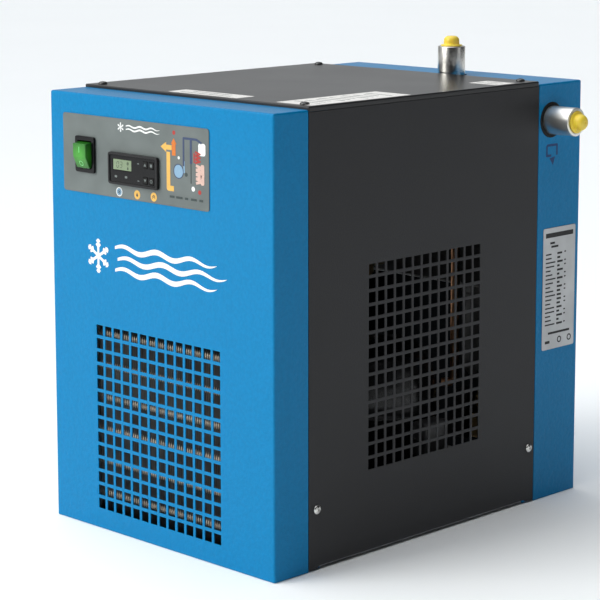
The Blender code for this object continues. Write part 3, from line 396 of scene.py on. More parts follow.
def cube(low, high):
    bm = bmesh.new()
    bmesh.ops.create_cube(bm, size=1.0)
    low = Vector(low)
    high = Vector(high)
    bmesh.ops.scale(bm, vec=high - low, verts=bm.verts)
    bmesh.ops.translate(bm, vec=(low + high) / 2, verts=bm.verts)
    return bm


def shell(low, high, open_sides, radius):
    """A bent sheet: a box with some sides left open and its bends rounded.

    open_sides holds (axis, sign) pairs."""
    bm = cube(low, high)
    removed = []
    for face in bm.faces:
        for axis, sign in open_sides:
            if face.normal[axis] * sign > 0.9:
                removed.append(face)
    bmesh.ops.delete(bm, geom=removed, context="FACES")
    bends = [edge for edge in bm.edges if len(edge.link_faces) == 2]
    bmesh.ops.bevel(bm, geom=bends, offset=radius, segments=4, profile=0.5, affect="EDGES")
    return bm


def place_on(plane, across, up, level):
    """A point of a plane that stands at a level."""
    place = Vector((0, 0, 0))
    for axis, value in zip(PLANES[plane], (across, up, level)):
        place[axis] = value
    return place


def faces_on(bm, plane, level):
    """The faces that lie in a plane at a level."""
    axis = PLANES[plane][2]
    return [f for f in bm.faces if all(abs(v.co[axis] - level) < SAME for v in f.verts)]


def slice_faces(bm, faces, axis, values):
    """Cuts faces at places along an axis, and returns them all."""
    normal = Vector((0, 0, 0))
    normal[axis] = 1.0
    for value in values:
        edges = list({e for f in faces for e in f.edges})
        verts = list({v for f in faces for v in f.verts})
        made = bmesh.ops.bisect_plane(
            bm, geom=faces + edges + verts, dist=0.0000001, plane_co=normal * value, plane_no=normal
        )
        faces = [g for g in made["geom"] if isinstance(g, bmesh.types.BMFace)]
    return faces


def faces_within(faces, axes, spans):
    """The faces whose middle lies within a span along each axis."""
    found = []
    for face in faces:
        middle = face.calc_center_median()
        if all(low < middle[axis] < high for axis, (low, high) in zip(axes, spans)):
            found.append(face)
    return found


def window(bm, plane, level, centre, size):
    """Cuts a rectangular opening in a flat face."""
    spans = [(c - s / 2, c + s / 2) for c, s in zip(centre, size)]
    faces = faces_on(bm, plane, level)
    for axis, span in zip(PLANES[plane], spans):
        faces = slice_faces(bm, faces, axis, span)
    bmesh.ops.delete(bm, geom=faces_within(faces, PLANES[plane], spans), context="FACES")


def perforate(bm, plane, level, grille):
    """Cuts a grid of square holes in a flat face."""
    columns, rows, across, up, centre = grille
    runs = []
    faces = faces_on(bm, plane, level)
    for axis, count, pitch, middle in zip(PLANES[plane], (columns, rows), (across, up), centre):
        half = pitch * HOLE_SHARE / 2
        places = [middle + (i - (count - 1) / 2) * pitch for i in range(count)]
        runs.append((axis, [(place - half, place + half) for place in places]))
        span = (places[0] - half, places[-1] + half)
        faces = faces_within(slice_faces(bm, faces, axis, span), (axis,), (span,))
    for axis, spans in runs:
        edges = [edge for span in spans for edge in span]
        faces = slice_faces(bm, faces, axis, edges[1:-1])
    for axis, spans in runs:
        faces = [f for f in faces if any(faces_within((f,), (axis,), (span,)) for span in spans)]
    bmesh.ops.delete(bm, geom=faces, context="FACES")


def circle(centre, radius, steps):
    angles = [math.tau * i / steps for i in range(steps)]
    return [(centre[0] + radius * math.cos(a), centre[1] + radius * math.sin(a)) for a in angles]


def round_hole(bm, plane, level, centre, radius, steps=48):
    """Cuts a round opening in a flat face, inside a square of clean faces."""
    *axes, deep = PLANES[plane]
    reach = radius * 1.2
    window(bm, plane, level, centre, (2 * reach, 2 * reach))
    square = []
    for edge in bm.edges:
        ends = [v.co for v in edge.verts]
        flat = all(abs(p[deep] - level) < SAME for p in ends)
        near = all(abs(p[a] - c) < reach + SAME for p in ends for a, c in zip(axes, centre))
        if flat and near and len(edge.link_faces) == 1:
            square.append(edge)
    ring = [bm.verts.new(place_on(plane, *spot, level)) for spot in circle(centre, radius, steps)]
    rim = [bm.edges.new((a, b)) for a, b in zip(ring, ring[1:] + ring[:1])]
    bmesh.ops.bridge_loops(bm, edges=square + rim)


def round_corner_path(points, radius, steps=8):
    """A path of straight runs with a round bend at each corner."""
    points = [Vector(p) for p in points]
    path = [points[0]]
    for before, corner, after in zip(points, points[1:], points[2:]):
        arriving = (corner - before).normalized()
        leaving = (after - corner).normalized()
        turn = arriving.angle(leaving)
        reach = min((corner - before).length, (after - corner).length) * 0.49
        bend = min(radius, reach / max(math.tan(turn / 2), 0.001))
        if turn < 0.02 or bend <= 0:
            path.append(corner)
            continue
        setback = bend * math.tan(turn / 2)
        axis = arriving.cross(leaving).normalized()
        inward = axis.cross(arriving)
        centre = corner - arriving * setback + inward * bend
        for i in range(steps + 1):
            path.append(centre + Matrix.Rotation(turn * i / steps, 3, axis) @ -inward * bend)
    path.append(points[-1])
    return path


def soften(profile, radius):
    """A turned profile with its corners rounded."""
    path = round_corner_path([(r, 0.0, h) for r, h in profile], radius, 3)
    return [(p.x, p.z) for p in path]


def standing(base, axis):
    """Stands what is round +Z on a base, along an axis."""
    return Matrix.Translation(base) @ Vector(axis).to_track_quat("Z", "Y").to_matrix().to_4x4()


def lathe(profile, base=(0, 0, 0), axis=(0, 0, 1), steps=64, closed=False):
    """A body of revolution about an axis through base; the profile holds (radius, height) pairs."""
    bm = bmesh.new()
    place = standing(base, axis)
    rings = []
    for radius, height in profile:
        spots = circle((0.0, 0.0), radius, steps if radius > SAME else 1)
        rings.append([bm.verts.new(place @ Vector((*spot, height))) for spot in spots])
    pairs = list(zip(rings, rings[1:]))
    if closed:
        pairs.append((rings[-1], rings[0]))
    for first, second in pairs:
        if len(first) == 1 and len(second) == 1:
            continue
        for i in range(steps):
            corners = []
            for ring, number in ((first, i), (first, i + 1), (second, i + 1), (second, i)):
                vert = ring[number % len(ring)]
                if vert not in corners:
                    corners.append(vert)
            bm.faces.new(corners)
    bmesh.ops.recalc_face_normals(bm, faces=bm.faces)
    return bm


def arc(centre, radius, start, end, steps=6):
    angles = [math.radians(start + (end - start) * i / steps) for i in range(steps + 1)]
    return [(centre[0] + radius * math.cos(a), centre[1] + radius * math.sin(a)) for a in angles]


def rectangle(low, high):
    return [low, (high[0], low[1]), high, (low[0], high[1])]


def rounded_rectangle(centre, size, radius, steps=6):
    """The outline of an upright rectangle with round corners."""
    half = (size[0] / 2 - radius, size[1] / 2 - radius)
    outline = []
    for quarter, (right, up) in enumerate(((1, 1), (-1, 1), (-1, -1), (1, -1))):
        corner = (centre[0] + right * half[0], centre[1] + up * half[1])
        outline += arc(corner, radius, quarter * 90, quarter * 90 + 90, steps)
    return outline


def flat_sheet(outline, plane, level, sign):
    """One flat face in a plane, facing up or down the axis that stands on it."""
    bm = bmesh.new()
    face = bm.faces.new([bm.verts.new(place_on(plane, *spot, level)) for spot in outline])
    face.normal_update()
    if face.normal[PLANES[plane][2]] * sign < 0:
        face.normal_flip()
    return bm


def slab(outline, plane, low, high, hole=None, into=None):
    """A flat outline in a plane, as thick as from low to high; a hole has as many points."""
    bm = into or bmesh.new()
    made = []

    def loop(points, level):
        return [bm.verts.new(place_on(plane, *spot, level)) for spot in points]

    def wall(first, second):
        for i in range(len(first)):
            j = (i + 1) % len(first)
            made.append(bm.faces.new((first[i], first[j], second[j], second[i])))

    near = loop(outline, low)
    far = loop(outline, high)
    wall(near, far)
    if hole:
        inner_near = loop(hole, low)
        inner_far = loop(hole, high)
        wall(inner_near, inner_far)
        wall(near, inner_near)
        wall(far, inner_far)
    else:
        made.append(bm.faces.new(near))
        made.append(bm.faces.new(far))
    bmesh.ops.recalc_face_normals(bm, faces=made)
    return bm


def tube(name, path, radius, finish, body="casing", stands_for=()):
    """A smooth round tube along a path, as a mesh."""
    curve = bpy.data.curves.new(name, "CURVE")
    curve.dimensions = "3D"
    curve.bevel_depth = radius
    curve.bevel_resolution = 5
    curve.use_fill_caps = True
    spline = curve.splines.new("POLY")
    spline.points.add(len(path) - 1)
    for point, place in zip(spline.points, path):
        point.co = (*place, 1.0)
    guide = link_object(name + "_path", curve)
    mesh = baked(guide)
    bpy.data.objects.remove(guide, do_unlink=True)
    bm = bmesh.new()
    bm.from_mesh(mesh)
    bpy.data.meshes.remove(mesh)
    bmesh.ops.remove_doubles(bm, verts=bm.verts, dist=0.000001)
    piece(name, bm, finish, body, stands_for, smooth=50.0)


# ---------------------------------------------------------------- casing


def add_lips(bm, seam, sign):
    """The joggled lips on which the side panels and the cover rest."""
    outside = RIGHT - SHEET - GAP
    near, far = sorted((seam + sign * LIP_OVERLAP, seam - sign * LIP_REACH))
    for side in (-1, 1):
        start, end = sorted((side * outside, side * (outside - LIP)))
        slab(rectangle((start, near), (end, far)), "XY", LIP_BOTTOM, HEIGHT - LIP_BELOW_TOP, into=bm)
    top = COVER.low.z - LIP_UNDER_COVER
    slab(rectangle((near, top - LIP), (far, top)), "YZ", -TOP_LIP_HALF, TOP_LIP_HALF, into=bm)


def make_trays():
    """The two blue trays, bent from sheet, with their openings."""
    # The insides of both trays take the painted shade, a near-black finish.
    front = shell((-RIGHT, FRONT, 0.0), (RIGHT, FRONT_SEAM, HEIGHT), ((Z, -1), (Y, 1)), BEND)
    perforate(front, "XZ", FRONT, FRONT_GRILLE)
    for node in CONTROLS:
        window(front, "XZ", FRONT, *Box(node).on("XZ", CUTOUT_LESS))
    piece("front_tray", front, BLUE, stands_for=("front_panel",), sheet=SHEET, inner=INNER_PAINTED_SHADE, edge=EDGE)

    rear = shell((-RIGHT, REAR_SEAM, 0.0), (RIGHT, BACK, HEIGHT), ((Z, -1), (Y, -1)), BEND)
    for node, plane, level, radius in (
        ("side_air_socket", "YZ", RIGHT, SOCKET_HOLE), ("top_air_socket", "XY", HEIGHT, SOCKET_HOLE),
        ("drain_outlet", "XZ", BACK, OUTLET_HOLE), ("cable_gland", "XZ", BACK, GLAND_HOLE),
    ):
        round_hole(rear, plane, level, Box(node).on(plane)[0], radius)
    piece("rear_tray", rear, BLUE, stands_for=("rear_panel",), sheet=SHEET, inner=INNER_PAINTED_SHADE, edge=EDGE)

    lips = bmesh.new()
    add_lips(lips, FRONT_SEAM, -1)
    add_lips(lips, REAR_SEAM, 1)
    piece("tray_lips", lips, BLUE, edge=EDGE)


def make_cover():
    """The black lid, bent down all round."""
    bend = 0.0014
    lid = shell(COVER.low, COVER.high, ((Z, -1),), bend)
    piece("cover", lid, COVER_BLACK, stands_for=("top_cover",), sheet=SHEET, edge=EDGE)


def make_side_panels():
    """The two black side panels, perforated, with a low relief along the bottom."""
    relief = 0.0024
    tab = 0.012
    slope = 0.003
    low, high = SIDE_PANEL.low, SIDE_PANEL.high
    outline = [
        (low.y, low.z), (low.y + tab, low.z), (low.y + tab + slope, low.z + relief),
        (high.y - tab - slope, low.z + relief), (high.y - tab, low.z), (high.y, low.z),
        (high.y, high.z), (low.y, high.z),
    ]
    for side, name in ((1, "right_side"), (-1, "left_side")):
        bm = flat_sheet(outline, "YZ", side * RIGHT, side)
        perforate(bm, "YZ", side * RIGHT, SIDE_GRILLE)
        piece(name + "_sheet", bm, BLACK, stands_for=(name + "_panel",), sheet=SHEET, edge=0.00035)


def make_base():
    """The galvanised floor, bent up all round."""
    bend = 0.002
    thickness = 0.0015
    tray = shell(*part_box("base_plate"), ((Z, 1),), bend)
    piece("floor_plate", tray, GALVANISED, stands_for=("base_plate",), sheet=thickness, edge=EDGE)


HEAD_RADIUS = 0.0047
HEAD_RISE = 0.0025
HEAD_SIDE = 0.0007
SHANK_RADIUS = 0.002
RECESS_HALF = (0.0023, 0.00048)
RECESS_DEPTH = 0.0014
RECESS_TAPER = (0.6, 0.8)


def screw_mesh():
    """A pan-head screw with a cross recess; its origin is under the head."""
    profile = [(0.0, HEAD_RISE)]
    for share in (0.3, 0.5, 0.7, 0.85, 0.95):
        profile.append((HEAD_RADIUS * share, HEAD_RISE * math.sqrt(1 - 0.86 * share * share)))
    profile += [(HEAD_RADIUS, HEAD_SIDE), (HEAD_RADIUS, 0.0)]
    profile += [(SHANK_RADIUS, 0.0), (SHANK_RADIUS, -0.007), (0.0, -0.009)]
    blank = link_object("screw_blank", mesh_of("screw_blank", lathe(profile, steps=32)))
    cutters = []
    for long_way, short_way in ((X, Y), (Y, X)):
        half = [0.0, 0.0]
        half[long_way], half[short_way] = RECESS_HALF
        bm = cube((-half[X], -half[Y], HEAD_RISE - RECESS_DEPTH), (half[X], half[Y], HEAD_RISE + 0.002))
        for vert in bm.verts:
            if vert.co.z < HEAD_RISE:
                vert.co[long_way] *= RECESS_TAPER[0]
                vert.co[short_way] *= RECESS_TAPER[1]
        cutter = link_object("recess", mesh_of("recess", bm))
        step = blank.modifiers.new("recess", "BOOLEAN")
        step.object = cutter
        step.solver = "EXACT"
        cutters.append(cutter)
    cut = baked(blank)
    for obj in (blank, *cutters):
        bpy.data.objects.remove(obj, do_unlink=True)
    return cut


def make_screws():
    """Each screw at its CAD node's place, turned a little differently."""
    blank = screw_mesh()
    names = [n for n in sorted(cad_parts) if n.startswith(("side_screw", "cover_screw"))]
    for number, name in enumerate(names):
        seat = Box(name).middle
        axis = Vector((0, 0, 0))
        if name.startswith("cover"):
            finish = SCREW_DARK
            axis.z = 1
            seat.z = COVER.high.z + GAP
        else:
            finish = SCREW_STEEL
            axis.x = math.copysign(1, seat.x)
            seat.x = axis.x * (RIGHT + GAP)
        turn = Matrix.Rotation(0.4 + 1.1 * number, 4, "Z")
        bm = bmesh.new()
        bm.from_mesh(blank)
        bmesh.ops.transform(bm, matrix=standing(seat, axis) @ turn, verts=bm.verts)
        piece(name + "_head", bm, finish, stands_for=(name,), smooth=30.0)


# ---------------------------------------------------------------- controls

PRINT_THICK = 0.00006
LAYER_RISE = 0.00003
SHAPE_RISE = 0.000003
# The back of the bezels, just in front of the control label.
BEZEL_BACK = DECAL.low.y - GAP


def left_of(way):
    return Vector((-way.y, way.x)).normalized()


class Print:
    """Flat printed shapes of one colour on a face; a higher layer prints over a lower one."""

    def __init__(self, plane, sign, face, layer=0):
        self.bm = bmesh.new()
        self.plane = plane
        self.level = face + sign * ON_FACE
        self.rise = sign * (PRINT_THICK + layer * LAYER_RISE)
        self.step = sign * SHAPE_RISE
        self.count = 0

    def area(self, outline, hole=None):
        """Adds a shape. Neighbours differ by microns, so that no faces coincide where they overlap."""
        top = self.level + self.rise + self.step * (self.count % 8)
        self.count += 1
        slab(outline, self.plane, *sorted((self.level, top)), hole=hole, into=self.bm)

    def bar(self, start, end, width):
        """A straight line with square ends."""
        start = Vector(start)
        end = Vector(end)
        across = left_of(end - start) * width / 2
        self.area([start + across, end + across, end - across, start - across])

    def line(self, points, width):
        for start, end in zip(points, points[1:]):
            self.bar(start, end, width)
        for point in points[1:-1]:
            self.disc(point, width / 2, 10)

    def disc(self, centre, radius, steps=24):
        self.area(circle(centre, radius, steps))

    def ring(self, centre, radius, width, steps=28):
        self.area(circle(centre, radius, steps), circle(centre, radius - width, steps))

    def box(self, centre, size, radius=0.0):
        if radius:
            self.area(rounded_rectangle(centre, size, radius, 3))
        else:
            half = Vector((size[0] / 2, 0))
            self.bar(Vector(centre) - half, Vector(centre) + half, size[1])

    def arrow(self, tip, direction, length, width):
        """A solid triangle that points in a direction."""
        along = Vector(direction).normalized()
        back = Vector(tip) - along * length
        across = left_of(along) * width / 2
        self.area([tip, back + across, back - across])

    def snowflake(self, centre, radius, width):
        centre = Vector(centre)
        for i in range(6):
            angle = math.radians(30 + 60 * i)
            way = Vector((math.cos(angle), math.sin(angle)))
            self.bar(centre, centre + way * radius, width)
            for share, reach in ((0.52, 0.26), (0.78, 0.20)):
                root = centre + way * radius * share
                for side in (-left_of(way), left_of(way)):
                    self.bar(root, root + (way + side).normalized() * radius * reach, width * 0.8)

    def wave(self, start, length, height, turns, width, steps=14):
        """A flowing line, thin at both ends."""
        count = turns * steps
        upper = []
        lower = []
        for i in range(count + 1):
            share = i / count
            thick = width / 2 * math.sin(math.pi * min(1.0, 0.12 + 0.88 * share)) ** 0.6
            x = start[0] + length * share
            z = start[1] + height * math.sin(math.tau * turns * share)
            upper.append((x, z + thick))
            lower.append((x, z - thick))
        for i in range(count):
            self.area([upper[i], upper[i + 1], lower[i + 1], lower[i]])

    def droplet(self, centre, radius):
        self.area([(centre[0], centre[1] + radius * 2.1)] + arc(centre, radius, 150, 390, 16))

    def finish(self, name, ink, body="casing"):
        piece(name, self.bm, ink, body, smooth=30.0)


# The middles of the control label's three discs and of its compressor sign.
DISCS = ((-0.0552, 0.3553), (-0.0281, 0.3550), (-0.0034, 0.3553))
DIAL = (0.0332, 0.3843)


def print_label(ink, layer, draw):
    """Prints what a function draws on the control label, in one ink."""
    shapes = Print("XZ", -1, DECAL.low.y, layer)
    draw(shapes)
    shapes.finish("label_print_" + ink, INKS[ink])


def draw_white(white):
    white.snowflake((-0.0520, 0.4205), 0.0048, 0.0009)
    for z in (0.4221, 0.4187):
        white.wave((-0.0440, z), 0.0505, 0.0009, 3, 0.0018)
    white.ring(DISCS[0], 0.0046, 0.0008)
    white.box((0.0665, 0.4080), (0.0100, 0.0120), 0.0024)
    white.disc((0.0539, 0.3690), 0.0024)
    white.disc((0.0335, 0.3975), 0.0015)


def draw_sky(sky):
    sky.disc(DISCS[0], 0.0036)
    sky.disc(DIAL, 0.0070)
    sky.line([DIAL, (0.0412, 0.3843), (0.0412, 0.3950)], 0.0020)


def draw_amber(amber):
    amber.disc(DISCS[1], 0.0045)
    amber.disc(DISCS[2], 0.0045)
    amber.line([(0.0262, 0.3665), (0.0185, 0.3665), (0.0185, 0.4020)], 0.0052)
    amber.arrow((0.0075, 0.4065), (-1, 0), 0.0080, 0.0100)
    amber.line([(0.0140, 0.4065), (0.0235, 0.4065)], 0.0048)


def draw_orange(orange):
    orange.line([(0.0265, 0.3990), (0.0265, 0.4110)], 0.0052)
    orange.arrow((0.0265, 0.4160), (0, 1), 0.0056, 0.0080)


def draw_red(red):
    red.disc((0.0268, 0.4215), 0.0021)
    for i in range(3):
        z = 0.3945 + i * 0.0036
        red.line([(0.0570, z), (0.0640, z + 0.0018), (0.0570, z + 0.0036)], 0.0018)
    red.line([(0.0555, 0.3945), (0.0555, 0.4040)], 0.0016)
    red.disc((0.0631, 0.3665), 0.0022)


def draw_rose(rose):
    for i in range(4):
        z = 0.3750 + i * 0.0043
        rose.line([(0.0580, z), (0.0670, z + 0.0021), (0.0580, z + 0.0043)], 0.0026)
    rose.box((0.0672, 0.3836), (0.0050, 0.0200), 0.0018)


def draw_navy(navy):
    navy.line([(0.0405, 0.3900), (0.0405, 0.4172), (0.0590, 0.4172), (0.0662, 0.4140)], 0.0022)
    navy.line([(0.0510, 0.4172), (0.0510, 0.3930)], 0.0028)
    navy.ring(DIAL, 0.0073, 0.0009)


def draw_dark(dark):
    """The signs on the discs, and what is dark in the flow scheme."""
    dark.snowflake(DISCS[0], 0.0026, 0.0005)
    x, z = DISCS[1]
    dark.droplet((x, z - 0.0006), 0.0013)
    x, z = DISCS[2]
    for drop in (0.0, 0.0016):
        dark.line([(x - 0.0022, z - drop), (x, z + 0.0020 - drop), (x + 0.0022, z - drop)], 0.0006)
    dark.disc((0.0440, 0.3820), 0.0020)
    dark.line([(0.0510, 0.3930), (0.0510, 0.3740)], 0.0010)
    for i, length in enumerate((0.0066, 0.0090, 0.0040, 0.0080, 0.0050)):
        dark.box((0.0235 + i * 0.0104, 0.3585), (length, 0.0022))


def make_decal():
    """The grey control label, cut out round the switch and the controller, and its print."""
    bm = flat_sheet(rounded_rectangle(*DECAL.on("XZ"), 0.003), "XZ", DECAL.low.y, -1)
    for node in CONTROLS:
        window(bm, "XZ", DECAL.low.y, *Box(node).on("XZ", CUTOUT_LESS))
    piece("control_label", bm, GREY_FILM, stands_for=("control_decal",), sheet=0.0005, edge=0.00012)
    print_label("white", 0, draw_white)
    print_label("sky", 1, draw_sky)
    print_label("amber", 1, draw_amber)
    print_label("orange", 2, draw_orange)
    print_label("red", 2, draw_red)
    print_label("rose", 1, draw_rose)
    print_label("navy", 3, draw_navy)
    print_label("dark", 4, draw_dark)


SWITCH = Box("switch_housing")
SWITCH_WELL = (0.0212, 0.0278)
SWITCH_BARREL = (0.0236, 0.0302)
ROCKER_TILT = math.radians(12)
ROCKER_RIDGE = 0.0087
RIDGE_ROUND = 0.0012
ROCKER_PIVOT_Y = FRONT - 0.002
ROCKER_HALF = 0.0129
ROCKER_DEPTH = 0.0078
ROCKER_HALF_WIDTH = 0.0099
MARK_UP = 0.0072


def rocker_face(up):
    """How far forward of its pivot the rocker's face stands, at a height above it."""
    edge = math.hypot(up, RIDGE_ROUND) - RIDGE_ROUND
    return ROCKER_RIDGE - math.tan(ROCKER_TILT) * edge - 0.0001


def rocker_place(up, forward):
    """A point of the rocker's section, tilted to its rest: (y, z)."""
    cosine = math.cos(ROCKER_TILT)
    sine = math.sin(ROCKER_TILT)
    return (
        ROCKER_PIVOT_Y - forward * cosine - up * sine,
        SWITCH.middle.z + up * cosine - forward * sine,
    )


def make_switch():
    """The rocker switch: a rounded bezel round a dark cavity, and the glossy rocker."""
    centre, size = SWITCH.on("XZ")
    well = rounded_rectangle(centre, SWITCH_WELL, 0.0008)
    bm = slab(rounded_rectangle(centre, size, 0.0022), "XZ", SWITCH.low.y, BEZEL_BACK, hole=well)
    barrel = rounded_rectangle(centre, SWITCH_BARREL, 0.0010)
    slab(barrel, "XZ", BEZEL_BACK, SWITCH.high.y, hole=well, into=bm)
    slab(well, "XZ", FRONT + 0.0095, SWITCH.high.y - 0.001, into=bm)
    piece("switch_bezel", bm, GLOSS_BLACK, stands_for=("switch_housing",), edge=0.0007, segments=4)

    half = ROCKER_HALF
    steps = 24
    section = [(up, rocker_face(up)) for up in (half - 2 * half * i / steps for i in range(steps + 1))]
    section += [(-half, 0.0), (-half + 0.0009, -0.0050), (-0.005, -ROCKER_DEPTH)]
    section += [(0.005, -ROCKER_DEPTH), (half - 0.0009, -0.0050), (half, 0.0)]
    outline = [rocker_place(*spot) for spot in section]
    bm = slab(outline, "YZ", centre[0] - ROCKER_HALF_WIDTH, centre[0] + ROCKER_HALF_WIDTH)
    rocker = piece("rocker", bm, GREEN, "rocker", ("switch_rocker",), smooth=None)
    round_edges(rocker, 0.0008, 4, 40.0)

    marks = bmesh.new()
    on_mark = rounded_rectangle((centre[0], 0.0), (0.0011, 0.0062), 0.0004, 3)
    off_mark, off_hole = [circle((centre[0], 0.0), radius, 28) for radius in (0.0030, 0.0021)]
    for up, tilt, mark, hole in (
        (MARK_UP, 0.0, on_mark, None), (-MARK_UP, 2 * ROCKER_TILT, off_mark, off_hole),
    ):
        shape = slab(mark, "XZ", -PRINT_THICK, 0.0, hole=hole)
        y, z = rocker_place(up, rocker_face(up))
        turn = Matrix.Translation((0, y - 2 * ON_FACE, z)) @ Matrix.Rotation(tilt, 4, "X")
        bmesh.ops.transform(shape, matrix=turn, verts=shape.verts)
        mesh = mesh_of("mark", shape)
        marks.from_mesh(mesh)
        bpy.data.meshes.remove(mesh)
    piece("rocker_marks", marks, INKS["pale_green"], "rocker", smooth=30.0)


# The seven strokes of a digit, as (start, end) corners of a box one wide and two high.
STROKES = {
    "top": ((0, 2), (1, 2)), "upper_right": ((1, 2), (1, 1)), "lower_right": ((1, 1), (1, 0)),
    "bottom": ((0, 0), (1, 0)), "lower_left": ((0, 0), (0, 1)), "upper_left": ((0, 1), (0, 2)),
    "middle": ((0, 1), (1, 1)),
}
MISSING_STROKES = {0: ("middle",), 3: ("upper_left", "lower_left")}
DIGIT_HEIGHT = 0.0030
DIGIT_LEAN = 0.10
CONTROLLER = Box("controller_housing")
CONTROLLER_RIM = 0.0025
CONTROLLER_BARREL = (0.0704, 0.0288)
FACE_Y = CONTROLLER.low.y + 0.0010
KEY_HOLE = (0.0070, 0.0070)
KEYS = {
    "key_upper_left": "key_ul", "key_upper_right": "key_ur",
    "key_lower_left": "key_ll", "key_lower_right": "key_lr",
}


def print_display(lens):
    """Two slanted digits, a snowflake and a drop on the display."""
    segments = Print("XZ", -1, lens.low.y)
    middle = Vector(lens.on("XZ")[0])
    for place, digit in ((-0.0085, 0), (-0.0035, 3)):
        for stroke, corners in STROKES.items():
            if stroke not in MISSING_STROKES[digit]:
                start, end = [
                    middle + Vector((place + (u + DIGIT_LEAN * v) * DIGIT_HEIGHT, (v - 1) * DIGIT_HEIGHT))
                    for u, v in corners
                ]
                segments.bar(start.lerp(end, 0.12), end.lerp(start, 0.12), 0.00055)
    segments.snowflake(middle + Vector((0.0085, 0.0020)), 0.0019, 0.00035)
    segments.droplet(middle + Vector((0.0085, -0.0032)), 0.0010)
    segments.finish("display_segments", SEGMENT)


def make_controller():
    """The controller: a rimmed black face with its window and its marks."""
    centre, size = CONTROLLER.on("XZ")
    face_size = CONTROLLER.on("XZ", 2 * CONTROLLER_RIM)[1]
    bm = slab(
        rounded_rectangle(centre, size, 0.0028), "XZ", CONTROLLER.low.y, BEZEL_BACK,
        hole=rounded_rectangle(centre, face_size, 0.0014),
    )
    slab(rounded_rectangle(centre, CONTROLLER_BARREL, 0.0010), "XZ", BEZEL_BACK, CONTROLLER.high.y, into=bm)
    piece("controller_bezel", bm, PLASTIC, stands_for=("controller_housing",), edge=0.0006, segments=3)

    lens = Box("display_lens")
    plate = flat_sheet(rounded_rectangle(centre, face_size, 0.0012), "XZ", FACE_Y, -1)
    window(plate, "XZ", FACE_Y, *lens.on("XZ", -2 * GAP))
    for node in KEYS:
        window(plate, "XZ", FACE_Y, Box(node).on("XZ")[0], KEY_HOLE)
    piece("controller_face", plate, GLOSS_BLACK, sheet=BEZEL_BACK - FACE_Y - 0.0004, edge=0.00025)
    piece("display_glass", cube(lens.low, lens.high), WINDOW, stands_for=("display_lens",), edge=EDGE)
    print_display(lens)

    marks = Print("XZ", -1, FACE_Y)
    for x, z in ((-0.0567, 0.3711), (-0.0412, 0.3715)):
        marks.box((x, z), (0.0036, 0.0022), 0.0006)
    for z in (0.3867, 0.3695):
        marks.box((-0.0227, z), (0.0026, 0.0010))
    marks.finish("controller_marks", GREY_FILM)


def make_keys():
    """The four soft keys, each with its printed sign."""
    for node, body in KEYS.items():
        key = Box(node)
        centre, size = key.on("XZ")
        cap = slab(rounded_rectangle(centre, size, 0.0010), "XZ", key.low.y, key.high.y)
        piece(node + "_cap", cap, RUBBER, body, (node,), edge=0.0005, segments=3)
        sign = Print("XZ", -1, key.low.y)
        if body == "key_ul":
            sign.arrow((centre[0], centre[1] + 0.0016), (0, 1), 0.0030, 0.0036)
        elif body == "key_ll":
            sign.arrow((centre[0], centre[1] - 0.0016), (0, -1), 0.0030, 0.0036)
        elif body == "key_ur":
            sign.box(centre, (0.0030, 0.0030), 0.0005)
        else:
            sign.ring(centre, 0.0018, 0.0007)
        sign.finish(node + "_sign", GREY_FILM, body)


def make_front_print():
    """Generic white signs for cold, dry air, where the front is plain."""
    sign = Print("XZ", -1, FRONT)
    sign.snowflake((-0.090, 0.2860), 0.0175, 0.0030)
    for row, (start, length) in enumerate(((-0.064, 0.150), (-0.060, 0.160), (-0.064, 0.150))):
        sign.wave((start, 0.2975 - row * 0.0115), length, 0.0026, 3, 0.0056)
    sign.finish("front_print", INKS["white"])


def make_rating_plate():
    """The silver plate, with bars and two rings for its print."""
    plate = Box("rating_plate")
    low, high = plate.low, plate.high
    centre, size = plate.on("YZ")
    film = slab(rounded_rectangle(centre, size, 0.0022), "YZ", low.x, high.x)
    piece("data_plate", film, SILVER_FILM, stands_for=("rating_plate",), edge=0.00012)
    ink = Print("YZ", 1, high.x)
    left = low.y + 0.0045
    ink.box((centre[0], high.z - 0.0080), (size[0] - 0.008, 0.0050))
    ink.box((left + 0.0110, high.z - 0.0165), (0.0080, 0.0022))
    ink.box((left + 0.0150, high.z - 0.0205), (0.0120, 0.0022))
    for row in range(18):
        z = high.z - 0.0285 - row * 0.0045
        name = 0.008 + 0.009 * math.sin(2.3 * row + 0.4) ** 2
        ink.box((left + name / 2, z), (name, 0.0015))
        value = 0.004 + 0.006 * math.sin(1.7 * row + 1.0) ** 2
        ink.box((left + 0.0195 + value / 2, z), (value, 0.0022))
        if row % 3 != 1:
            ink.box((left + 0.0330, z + 0.0006), (0.0028, 0.0015))
    ink.box((centre[0] + 0.001, low.z + 0.0175), (size[0] - 0.018, 0.0024))
    ink.box((left + 0.0045, low.z + 0.0080), (0.0080, 0.0030))
    for y in (centre[0] + 0.002, high.y - 0.0085):
        ink.ring((y, low.z + 0.0090), 0.0036, 0.0014)
    ink.finish("data_plate_print", INKS["black"])


def make_flow_sign():
    """The dark blue sign on the rear tray's right flange: a bent pipe and an arrow."""
    flow = Print("YZ", 1, RIGHT)
    y, z = 0.1827, 0.3744
    left, right, top, bottom = y - 0.0085, y + 0.0085, z + 0.0095, z - 0.0015
    flow.line([(left, top), (right, top), (right, bottom)], 0.0026)
    flow.line([(left, top), (left, bottom), (y - 0.0010, bottom)], 0.0026)
    flow.arrow((y + 0.0020, z - 0.0120), (0.15, -1), 0.0085, 0.0095)
    flow.finish("flow_sign", INKS["deep_blue"])


# The labels on the cover: centre and size.
LABELS = (
    ((0.1360, -0.1080), (0.0480, 0.1400)),
    ((0.0100, -0.1675), (0.1000, 0.0250)),
    ((0.1400, 0.1100), (0.0380, 0.0300)),
)
LABEL_THICK = 0.0001


